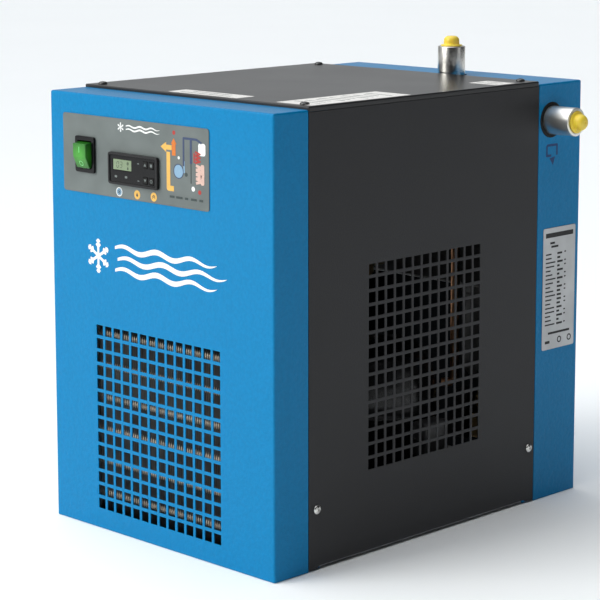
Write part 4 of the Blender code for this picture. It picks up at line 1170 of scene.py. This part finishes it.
def make_cover_labels():
    """Pale labels on the cover, with grey bars for their print."""
    bottom = COVER.high.z + ON_FACE
    labels = bmesh.new()
    bars = Print("XY", 1, COVER.high.z + LABEL_THICK)
    for centre, size in LABELS:
        slab(rounded_rectangle(centre, size, 0.0015), "XY", bottom, bottom + LABEL_THICK, into=labels)
        lines = max(2, int(size[1] / 0.013))
        for line in range(lines):
            y = centre[1] + ((line + 0.5) / lines - 0.5) * size[1] * 0.8
            length = size[0] * (0.72 - 0.16 * (line % 3))
            bars.box((centre[0] - 0.03 * size[0], y), (length, 0.0022))
    piece("cover_labels", labels, LABEL, smooth=30.0)
    bars.finish("cover_label_print", GREY_FILM)


# ---------------------------------------------------------------- sockets and caps

SOCKET_RADIUS = 0.015
SOCKET_BORE = 0.010
BORE_DEPTH = 0.026
SOCKET_MOUTH = 0.0122
THREAD_PITCH = 0.0018
THREAD_DEPTH = 0.0007
CAP_SHOULDER = 0.0013


def socket_profile(length):
    """A tube with a threaded blind bore and a countersunk mouth."""
    floor = length - BORE_DEPTH
    profile = [(0.0, floor), (SOCKET_BORE - 0.0006, floor)]
    for i in range(int((BORE_DEPTH - 0.004) / THREAD_PITCH)):
        level = floor + 0.002 + i * THREAD_PITCH
        profile += [(SOCKET_BORE, level), (SOCKET_BORE + THREAD_DEPTH, level + THREAD_PITCH / 2)]
    profile += [(SOCKET_BORE, length - 0.0022), (SOCKET_MOUTH, length - 0.0001)]
    rim = [(SOCKET_MOUTH, length), (SOCKET_RADIUS, length), (SOCKET_RADIUS, length - 0.020)]
    return profile + soften(rim, 0.0009) + [(SOCKET_RADIUS, 0.0), (0.0, 0.0)]


def cap_profile():
    """A plug that fills the bore, a thin flange and a domed top."""
    top = CAP_SHOULDER
    skirt = [(0.0, -0.0078), (0.0080, -0.0080), (0.0092, -0.0074), (0.0096, 0.0)]
    flange = soften([(0.0096, 0.0), (0.01175, 0.0), (0.01175, top), (0.0093, top)], 0.0005)
    dome = [(0.0086, top + 0.0006), (0.0085, top + 0.0045)] + arc((0.0035, top + 0.0045), 0.0049, 0, 80, 10)
    return skirt + flange + dome + [(0.0016, top + 0.0094), (0.0012, top + 0.0089), (0.0, top + 0.0088)]


def make_sockets():
    """The two steel sockets, their yellow transport caps, and the seal round the side one."""
    for side, axis, finish in (("side", X, STEEL_X), ("top", Z, STEEL_Z)):
        socket = Box(side + "_air_socket")
        length = socket.size[axis]
        way = Vector((0, 0, 0))
        way[axis] = 1.0
        base = socket.middle.copy()
        base[axis] = socket.low[axis]
        end = socket.middle.copy()
        end[axis] = socket.high[axis]
        tube_body = lathe(socket_profile(length), base, way, 72)
        piece(side + "_socket", tube_body, finish, stands_for=(side + "_air_socket",), smooth=40.0)
        cap = lathe(cap_profile(), end + way * GAP, way, 64)
        piece(side + "_cap_plug", cap, YELLOW, side + "_plug", (side + "_cap",), smooth=40.0)

    washer = [(0.0152, 0.0), (0.0152, 0.0012), (0.0182, 0.0010), (0.0190, 0.0)]
    base = Box("side_air_socket").middle
    base.x = RIGHT + 0.00005
    piece("side_socket_seal", lathe(washer, base, (1, 0, 0), 64, closed=True), RUBBER, smooth=40.0)


# ---------------------------------------------------------------- condenser and fan

CORE = Box("condenser_core")
FIN_PITCH = 0.0030
FIN_RIPPLES = 6
END_PLATE = 0.0012
COIL_RUNS = 6
COIL_PITCH = 0.0337
COIL_START_Z = 0.0355
COIL_TOP_Z = COIL_START_Z + (COIL_RUNS - 1) * COIL_PITCH
COIL_Y = -0.218
COIL_RADIUS = 0.005
COIL_LEFT = -0.116
COIL_TAIL = 0.0235
FAN_X = -0.003
FAN_Z = 0.116
FAN_OPENING = 0.084
FAN_BLADES = 5
BLADE_TIP = 0.0755
BLADE_CELLS = 8
HUB_RADIUS = 0.021
# The way in which the fan, its motor and its ring face.
FORWARD = (0, -1, 0)


def make_condenser():
    """A block of thin rippled fins between two end plates, and the serpentine tube through it."""
    count = int((CORE.size.x - 0.003) / FIN_PITCH)
    bm = bmesh.new()
    for i in range(count):
        x = CORE.middle.x + (i - (count - 1) / 2) * FIN_PITCH
        columns = []
        for j in range(FIN_RIPPLES + 1):
            y = CORE.low.y + 0.0004 + (CORE.size.y - 0.0008) * j / FIN_RIPPLES
            bow = 0.00035 * (-1) ** j
            columns.append([bm.verts.new((x + bow, y, z)) for z in (CORE.low.z, CORE.high.z)])
        for first, second in zip(columns, columns[1:]):
            bm.faces.new((first[0], second[0], second[1], first[1]))
    # The fins take the dark fin metal, partly painted shade.
    fins = piece("condenser_fins", bm, FIN_METAL_PAINTED_SHADE, stands_for=("condenser_core",), smooth=None)
    fins.modifiers.new("fin", "SOLIDIFY").thickness = 0.00022

    plates = bmesh.new()
    outline = rectangle((CORE.low.y, CORE.low.z), (CORE.high.y, CORE.high.z))
    for x in (CORE.low.x, CORE.high.x - END_PLATE):
        slab(outline, "YZ", x, x + END_PLATE, into=plates)
    piece("condenser_end_plates", plates, GALVANISED, edge=0.0002)

    bend = COIL_PITCH / 2
    tail_y = COIL_Y + COIL_TAIL

    def end_path(z):
        """From the tail of the tube at a height, round its bend, to the middle of the block."""
        return round_corner_path([(COIL_LEFT, tail_y, z), (COIL_LEFT, COIL_Y, z), (0, COIL_Y, z)], 0.008)

    path = end_path(COIL_START_Z)[:-1]
    for run in range(COIL_RUNS - 1):
        side = 1 if run % 2 == 0 else -1
        turn_x = CORE.high.x + 0.003 if side > 0 else CORE.low.x - 0.003
        turn_z = COIL_START_Z + run * COIL_PITCH + bend
        for x, z in arc((turn_x, turn_z), bend, -90, -90 + side * 180, 14):
            path.append(Vector((x, COIL_Y, z)))
    path += end_path(COIL_TOP_Z)[-2::-1]
    tube("condenser_coil", path, COIL_RADIUS, COIL, stands_for=("condenser_tube",))


def make_shroud():
    """The bent shroud and the flared ring of its opening."""
    low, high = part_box("fan_shroud")
    shroud = shell(low, high, ((Y, -1),), 0.0025)
    round_hole(shroud, "XZ", high.y, (FAN_X, FAN_Z), FAN_OPENING, 72)
    piece("shroud", shroud, GALVANISED, stands_for=("fan_shroud",), sheet=SHEET, edge=EDGE)
    flare = [(FAN_OPENING + 0.0002, -0.0012), (FAN_OPENING - 0.0002, 0.0035)]
    flare += [(FAN_OPENING - 0.0012, 0.0035), (FAN_OPENING - 0.0010, -0.0012)]
    ring = lathe(flare, (FAN_X, high.y - 0.001, FAN_Z), FORWARD, 72, closed=True)
    piece("shroud_ring", ring, GALVANISED)


def blade_point(t, s):
    """A point of a blade that points up: t goes from the hub to the tip, s from edge to edge."""
    radius = HUB_RADIUS - 0.001 + (BLADE_TIP - HUB_RADIUS) * t
    chord = 0.026 + 0.024 * math.sin(t * math.pi * 0.55)
    pitch = math.radians(38 - 14 * t)
    along = s * chord + 0.010 * t
    camber = 0.0025 * (1 - 4 * s * s)
    lift = s * chord * math.sin(pitch) * 0.60 + camber - 0.0012
    shrink = math.sqrt(max(0.0, 1 - (along / 0.0790) ** 2))
    return Vector((along * math.cos(pitch), max(-0.0080, min(0.0080, lift)), radius * shrink))


def make_rotor():
    """The hub and its five pitched blades, which ride on the fan's body."""
    rotor = Box("fan_rotor")
    depth = rotor.size.y
    hub = [(0.0, depth), (HUB_RADIUS - 0.003, depth), (HUB_RADIUS, depth - 0.004), (HUB_RADIUS, 0.0)]
    bore = [(0.0034, 0.0), (0.0034, depth - 0.006), (0.0, depth - 0.006)]
    bm = lathe(soften(hub, 0.0015) + bore, (FAN_X, rotor.high.y, FAN_Z), FORWARD, 48)
    piece("fan_hub", bm, ALUMINIUM, "fan", ("fan_rotor",), smooth=40.0)

    blades = bmesh.new()
    middle = Vector((FAN_X, rotor.middle.y, FAN_Z))
    shares = [i / BLADE_CELLS for i in range(BLADE_CELLS + 1)]
    for number in range(FAN_BLADES):
        turn = Matrix.Rotation(math.tau * number / FAN_BLADES, 3, "Y")
        grid = [[blades.verts.new(turn @ blade_point(t, s - 0.5) + middle) for s in shares] for t in shares]
        for first, second in zip(grid, grid[1:]):
            for corners in zip(first, first[1:], second[1:], second):
                blades.faces.new(corners)
    bmesh.ops.recalc_face_normals(blades, faces=blades.faces)
    fan = piece("fan_blades", blades, ALUMINIUM, "fan", smooth=50.0)
    sheet = fan.modifiers.new("sheet", "SOLIDIFY")
    sheet.thickness = 0.0011
    sheet.offset = 0.0


def make_motor():
    """The fan's motor, with five ribs round it, and its strap."""
    motor = Box("fan_motor")
    length = motor.size.y
    front = length - 0.013
    radius = motor.size.x / 2
    groove = radius - 0.0016
    profile = [(0.0, length), (0.0028, length), (0.0028, front), (0.016, front), (0.018, front - 0.005)]
    profile += [(0.034, front - 0.009), (radius, front - 0.013)]
    for rib in range(5):
        level = front - 0.015 - rib * 0.0034
        profile += [(radius, level), (groove, level - 0.0007), (groove, level - 0.0021)]
        profile.append((radius, level - 0.0028))
    profile += [(radius - 0.004, 0.009), (0.018, 0.004), (0.014, 0.0), (0.0, 0.0)]
    bm = lathe(profile, (FAN_X, motor.high.y, FAN_Z), FORWARD, 56)
    piece("motor", bm, PLASTIC, stands_for=("fan_motor",))
    keep("fan_bracket", GALVANISED, 0.0004)


# ---------------------------------------------------------------- refrigeration pieces

COMPRESSOR = Box("compressor_shell")
JACKET = Box("exchanger_insulation")
LINE_RADIUS = 0.0032
SUCTION_RADIUS = 0.0048
CAPILLARY_RADIUS = 0.0012
LINE_BEND = 0.012
CAPILLARY_TURNS = 3
TURN_STEPS = 11
TURN_RADIUS = 0.024
TURN_RISE = 0.0036


def foot_of(box):
    """The point at the middle of a box's underside."""
    return Vector((box.middle.x, box.middle.y, box.low.z))


def make_compressor():
    """The hermetic shell with its weld seam, its feet, grommets and terminal cover."""
    radius = COMPRESSOR.size.x / 2 - 0.003
    profile = [(0.0, 0.1628)]
    for angle in map(math.radians, range(10, 80, 8)):
        profile.append((0.066 * math.sin(angle), 0.133 + 0.0298 * math.cos(angle)))
    profile += [(0.0690, 0.128), (0.0712, 0.118), (0.0722, 0.100), (0.0724, 0.0905)]
    profile += arc((radius + 0.0008, 0.0862), 0.0022, 60, -60, 8)
    profile += [(radius, 0.082), (radius, 0.034), (0.0712, 0.022), (0.066, 0.012), (0.058, 0.005)]
    profile += [(0.050, 0.002), (0.0, 0.0)]
    bm = lathe(profile, foot_of(COMPRESSOR), steps=96)
    piece("compressor", bm, SHELL_BLACK, stands_for=("compressor_shell",), smooth=60.0)
    keep("compressor_feet", BLACK, 0.0006)

    foot = [(0.0, 0.0250), (0.0050, 0.0250), (0.0050, 0.0178), (0.0105, 0.0174), (0.0085, 0.0090)]
    foot += [(0.0108, 0.0), (0.0, 0.0)]
    for number in range(1, 5):
        node = f"grommet_{number}"
        bm = lathe(soften(foot, 0.0008), foot_of(Box(node)), steps=40)
        piece(node + "_rubber", bm, RUBBER, stands_for=(node,), smooth=50.0)

    keep("terminal_cover", GREY_PLASTIC, 0.0008)
    cover = Box("terminal_cover")
    root_x = cover.low.x + 0.002
    tip_x = cover.high.x + 0.0008
    near = cover.low.y - 0.0006
    far = cover.high.y + 0.0006
    corners = [(root_x, near), (tip_x, near), (tip_x, far), (root_x, far)]
    clip = round_corner_path([(*corner, cover.middle.z) for corner in corners], 0.003)
    tube("terminal_clip", clip, 0.0008, SCREW_STEEL)


def make_exchanger():
    """The foam-jacketed heat exchanger on its frame, with straps round the jacket."""
    # The core takes the dark fin metal, partly painted shade.
    keep("heat_exchanger_core", FIN_METAL_PAINTED_SHADE, 0.0008)
    keep("exchanger_insulation", FOAM, 0.003)
    keep("exchanger_support", GALVANISED, 0.0004)
    outline = rounded_rectangle(*JACKET.on("XY", -0.0008), 0.003, 4)
    hole = rounded_rectangle(*JACKET.on("XY", 0.001), 0.0025, 4)
    for number, z in ((1, 0.285), (2, 0.380)):
        band = slab(outline, "XY", z, z + 0.009, hole=hole)
        piece(f"jacket_strap_{number}", band, PLASTIC, edge=0.0002)


def make_drain():
    """The separator bowl, the ball valve with its lever, the solenoid valve and the outlet."""
    separator = Box("separator")
    height = separator.size.z
    bowl = [(0.0, height), (0.030, height), (0.030, height - 0.010), (0.0285, height - 0.012)]
    bowl += [(0.0285, 0.034), (0.027, 0.024), (0.020, 0.014), (0.008, 0.010), (0.008, 0.0), (0.0, 0.0)]
    bm = lathe(soften(bowl, 0.0015), foot_of(separator), steps=56)
    # The bowl takes the dark fin metal, partly painted shade.
    piece("separator_bowl", bm, FIN_METAL_PAINTED_SHADE, stands_for=("separator",), smooth=40.0)
    keep("drain_ball_valve", BRASS, 0.0004)
    keep("drain_lever", SCREW_STEEL, 0.0003)
    keep("drain_solenoid", BRASS, 0.0003)
    keep("drain_coil", PLASTIC, 0.0003)
    keep("drain_hose", PLASTIC, 0.0002)

    lever = Box("drain_lever")
    grip = rounded_rectangle((lever.middle.y, lever.low.z + 0.013), (0.0104, 0.024), 0.0050, 6)
    sleeve = slab(grip, "YZ", lever.low.x - 0.0001, lever.high.x + 0.0006)
    piece("lever_grip", sleeve, YELLOW, "drain_handle", edge=0.0006, segments=3)

    outlet = Box("drain_outlet")
    wall = BACK - outlet.low.y + GAP
    end = outlet.size.y
    profile = [(0.0, wall + 0.006), (0.0040, wall + 0.006), (0.0040, end)]
    for barb in range(3):
        tip = end - barb * 0.0038
        profile += [(0.0056, tip), (0.0066, tip - 0.0034), (0.0058, tip - 0.0036)]
    profile += [(0.0058, wall + 0.006), (0.0110, wall + 0.006), (0.0110, wall), (0.0070, wall)]
    profile += [(0.0070, 0.0), (0.0, 0.0)]
    bm = lathe(profile, (outlet.middle.x, outlet.low.y, outlet.middle.z), (0, 1, 0), 40)
    piece("drain_barb", bm, BRASS, stands_for=("drain_outlet",), smooth=30.0)


def coil_path():
    """The capillary tube's route: from the drier, three turns, and up to the exchanger."""
    start = Vector((COIL_LEFT, 0.0303, COIL_START_Z))
    centre = Vector((COIL_LEFT + 0.014, 0.090, 0.112))
    path = [start, start + Vector((0, 0.010, 0.003)), start + Vector((0, 0.018, 0.030))]
    for i in range(CAPILLARY_TURNS * TURN_STEPS + 1):
        angle = math.radians(235) + math.tau * i / TURN_STEPS
        across = Vector((math.cos(angle), math.sin(angle), 0)) * TURN_RADIUS
        path.append(centre + across + Vector((0, 0, TURN_RISE * i / TURN_STEPS)))
    path += [(-0.088, 0.080, 0.175), (-0.066, 0.108, 0.262), (-0.062, 0.1312, 0.268)]
    return round_corner_path(path, 0.010, 3)


def make_pipe(name, corners, radius, node):
    """A copper pipe with a round bend at each corner."""
    tube(name, round_corner_path(corners, LINE_BEND), radius, COPPER, stands_for=(node,))


def make_lines():
    """The copper lines, the capillary tube, the drier and the hot-gas valve."""
    x, y = COMPRESSOR.on("XY")[0]
    slant = 0.0772 * math.sqrt(0.5)
    riser = (-0.116, -0.080)
    coil_end = COIL_Y + COIL_TAIL + GAP
    level = 0.128
    make_pipe("discharge_pipe", [
        (x - slant, y - slant, level), (x - slant - 0.022, y - slant - 0.022, level), (*riser, level),
        (*riser, COIL_TOP_Z), (riser[0], coil_end, COIL_TOP_Z),
    ], LINE_RADIUS, "discharge_line")
    straight = [(COIL_LEFT, coil_end, COIL_START_Z), (COIL_LEFT, -0.0603, COIL_START_Z)]
    make_pipe("liquid_pipe", straight, LINE_RADIUS, "liquid_line")
    level = 0.132
    post = (0.1045, 0.0965)
    make_pipe("suction_pipe", [
        (x + slant, y + slant, level), (*post, level), (*post, 0.300), (post[0], JACKET.low.y - GAP, 0.300),
    ], SUCTION_RADIUS, "suction_line")
    level = 0.186
    valve = (-0.028, 0.096)
    make_pipe("bypass_pipe", [
        (riser[0] + LINE_RADIUS + GAP, riser[1], level), (valve[0], riser[1], level), (*valve, level),
        (*valve, 0.2277),
    ], LINE_RADIUS, "bypass_line")
    tube("capillary", coil_path(), CAPILLARY_RADIUS, COPPER, stands_for=("capillary_tube",))

    drier = Box("filter_drier")
    length = drier.size.y
    neck = LINE_RADIUS
    profile = [(0.0, length), (neck, length), (neck, length - 0.008), (0.0095, length - 0.018)]
    profile += [(0.0095, 0.018), (neck, 0.008), (neck, 0.0), (0.0, 0.0)]
    bm = lathe(soften(profile, 0.003), (drier.middle.x, drier.low.y, drier.middle.z), (0, 1, 0), 40)
    piece("drier", bm, COPPER, stands_for=("filter_drier",), smooth=50.0)
    keep("hot_gas_valve", BRASS, 0.0003)


GLAND_WALL = 0.0140
GLAND_BORE = 0.0045
NUT_RADIUS = 0.0108
NUT_RIBS = 20


def make_electrics():
    """The cable gland with its ribbed nut, and the junction box with its lid."""
    gland = Box("cable_gland")
    wall = GLAND_WALL
    nut = [(GLAND_BORE, wall + 0.0195), (0.0095, wall + 0.0200), (NUT_RADIUS, wall + 0.016)]
    profile = soften(nut + [(NUT_RADIUS, wall + 0.0072)], 0.0012)
    profile += [(0.0122, wall + 0.006), (0.0122, wall), (0.0080, wall), (0.0080, 0.0), (GLAND_BORE, 0.0)]
    bm = lathe(profile, (gland.middle.x, gland.low.y, gland.middle.z), (0, 1, 0), 60, closed=True)
    size = Matrix.Diagonal((0.0011, 0.0080, 0.0011, 1.0))
    ring = circle(gland.on("XZ")[0], NUT_RADIUS, NUT_RIBS)
    for rib, (x, z) in enumerate(ring):
        place = Matrix.Translation((x, gland.low.y + wall + 0.0115, z))
        turn = Matrix.Rotation(-math.tau * rib / NUT_RIBS, 4, "Y")
        bmesh.ops.create_cube(bm, size=1.0, matrix=place @ turn @ size)
    piece("gland", bm, PLASTIC, stands_for=("cable_gland",), smooth=30.0)

    keep("junction_box", PLASTIC, 0.0005)
    box = Box("junction_box")
    lid = slab(rounded_rectangle(*box.on("XZ", 0.004), 0.003), "XZ", box.low.y - 0.0012, box.low.y)
    piece("junction_lid", lid, PLASTIC, edge=0.0004)


# ---------------------------------------------------------------- stage

VIEW_AZIMUTH = math.radians(45.54)
VIEW_ELEVATION = math.radians(8.81)
VIEW_ROLL = math.radians(-0.19)
VIEW_DISTANCE = 2.3145
VIEW_LENS = 130.51
VIEW_ACROSS = -0.0607
VIEW_UP = 0.0909
VIEW_SHIFT = (0.06, -0.15)
MIDDLE = Vector((0, 0, HEIGHT / 2))


def make_camera():
    """Looks at the dryer from in front and to its right, a little above it."""
    level = Vector((math.cos(VIEW_AZIMUTH), math.sin(VIEW_AZIMUTH), 0.0))
    back = Vector((level.y, -level.x, 0.0)) * math.cos(VIEW_ELEVATION)
    back.z = math.sin(VIEW_ELEVATION)
    upward = back.cross(level)
    right = math.cos(VIEW_ROLL) * level + math.sin(VIEW_ROLL) * upward
    up = -math.sin(VIEW_ROLL) * level + math.cos(VIEW_ROLL) * upward
    place = MIDDLE + back * VIEW_DISTANCE + right * VIEW_ACROSS + up * VIEW_UP
    data = bpy.data.cameras.new("camera")
    data.lens = VIEW_LENS
    data.shift_x, data.shift_y = VIEW_SHIFT
    data.clip_end = 60.0
    camera = link_object("camera", data)
    camera.matrix_world = Matrix.Translation(place) @ Matrix((right, up, back)).transposed().to_4x4()
    bpy.context.scene.camera = camera


KEY_PLACE = Vector((-1.3, -3.0, 1.7))
KEY_SIZE = 2.0
KEY_POWER = 68.0
KEY_COLOUR = (1.0, 1.0, 0.95)


def make_key_light():
    """A large soft light at the front left."""
    data = bpy.data.lights.new("key", "AREA")
    data.shape = "RECTANGLE"
    data.size = KEY_SIZE
    data.size_y = KEY_SIZE
    data.energy = KEY_POWER
    data.color = KEY_COLOUR
    light = link_object("key", data)
    light.location = KEY_PLACE
    light.rotation_mode = "QUATERNION"
    light.rotation_quaternion = (MIDDLE - KEY_PLACE).to_track_quat("-Z", "Y")


FLOOR_RADIUS = 14.0
FLOOR_COLOUR = (0.945, 0.958, 0.965)
FLOOR_Z = -0.0005


def make_floor():
    floor = bmesh.new()
    bmesh.ops.create_circle(floor, cap_ends=True, segments=96, radius=FLOOR_RADIUS)
    ground = Finish("floor_paint", FLOOR_COLOUR, 0.9)
    ground.mottle(ground.noise(2.0), 0.004)
    mesh = mesh_of("floor", floor)
    mesh.materials.append(ground.material)
    obj = link_object("floor", mesh)
    obj.location.z = FLOOR_Z


# The studio round the part: direction of each soft panel, the cosines where it fades in, strength.
PANELS = (
    ((-0.22, -0.24, 0.94), 0.62, 0.92, 2.22),
    ((-0.50, -0.85, 0.16), 0.55, 0.95, 0.62),
    ((-0.70, 0.70, 0.12), 0.55, 0.95, 0.55),
    ((0.93, 0.30, 0.20), 0.955, 0.985, 0.50),
)
ROOM = 0.03
STUDIO_COLOUR = (0.955, 0.980, 1.0, 1.0)


def make_studio():
    """A dim room with soft panels, each a smooth spot in its direction."""
    world = bpy.data.worlds.new("studio")
    bpy.context.scene.world = world
    studio = Nodes(world, "Background")
    direction = studio.add("TexCoord", "Generated", {})
    total = ROOM
    for way, start, end, strength in PANELS:
        inputs = {0: direction, 1: Vector(way).normalized()}
        facing = studio.add("VectorMath", "Value", inputs, operation="DOT_PRODUCT")
        inputs = {"From Min": start, "From Max": end, "To Max": strength, "Value": facing}
        panel = studio.add("MapRange", "Result", inputs, interpolation_type="SMOOTHSTEP")
        total = studio.add("Math", 0, {0: panel, 1: total})
    studio.fill(studio.shader, {"Color": STUDIO_COLOUR, "Strength": total})
    bpy.context.scene.view_settings.view_transform = "Standard"


make_trays()
make_cover()
make_side_panels()
make_base()
make_screws()
make_decal()
make_switch()
make_controller()
make_keys()
make_front_print()
make_rating_plate()
make_flow_sign()
make_cover_labels()
make_sockets()
make_condenser()
make_shroud()
make_rotor()
make_motor()
make_compressor()
make_exchanger()
make_drain()
make_lines()
make_electrics()
make_camera()
make_floor()
make_studio()
make_key_light()
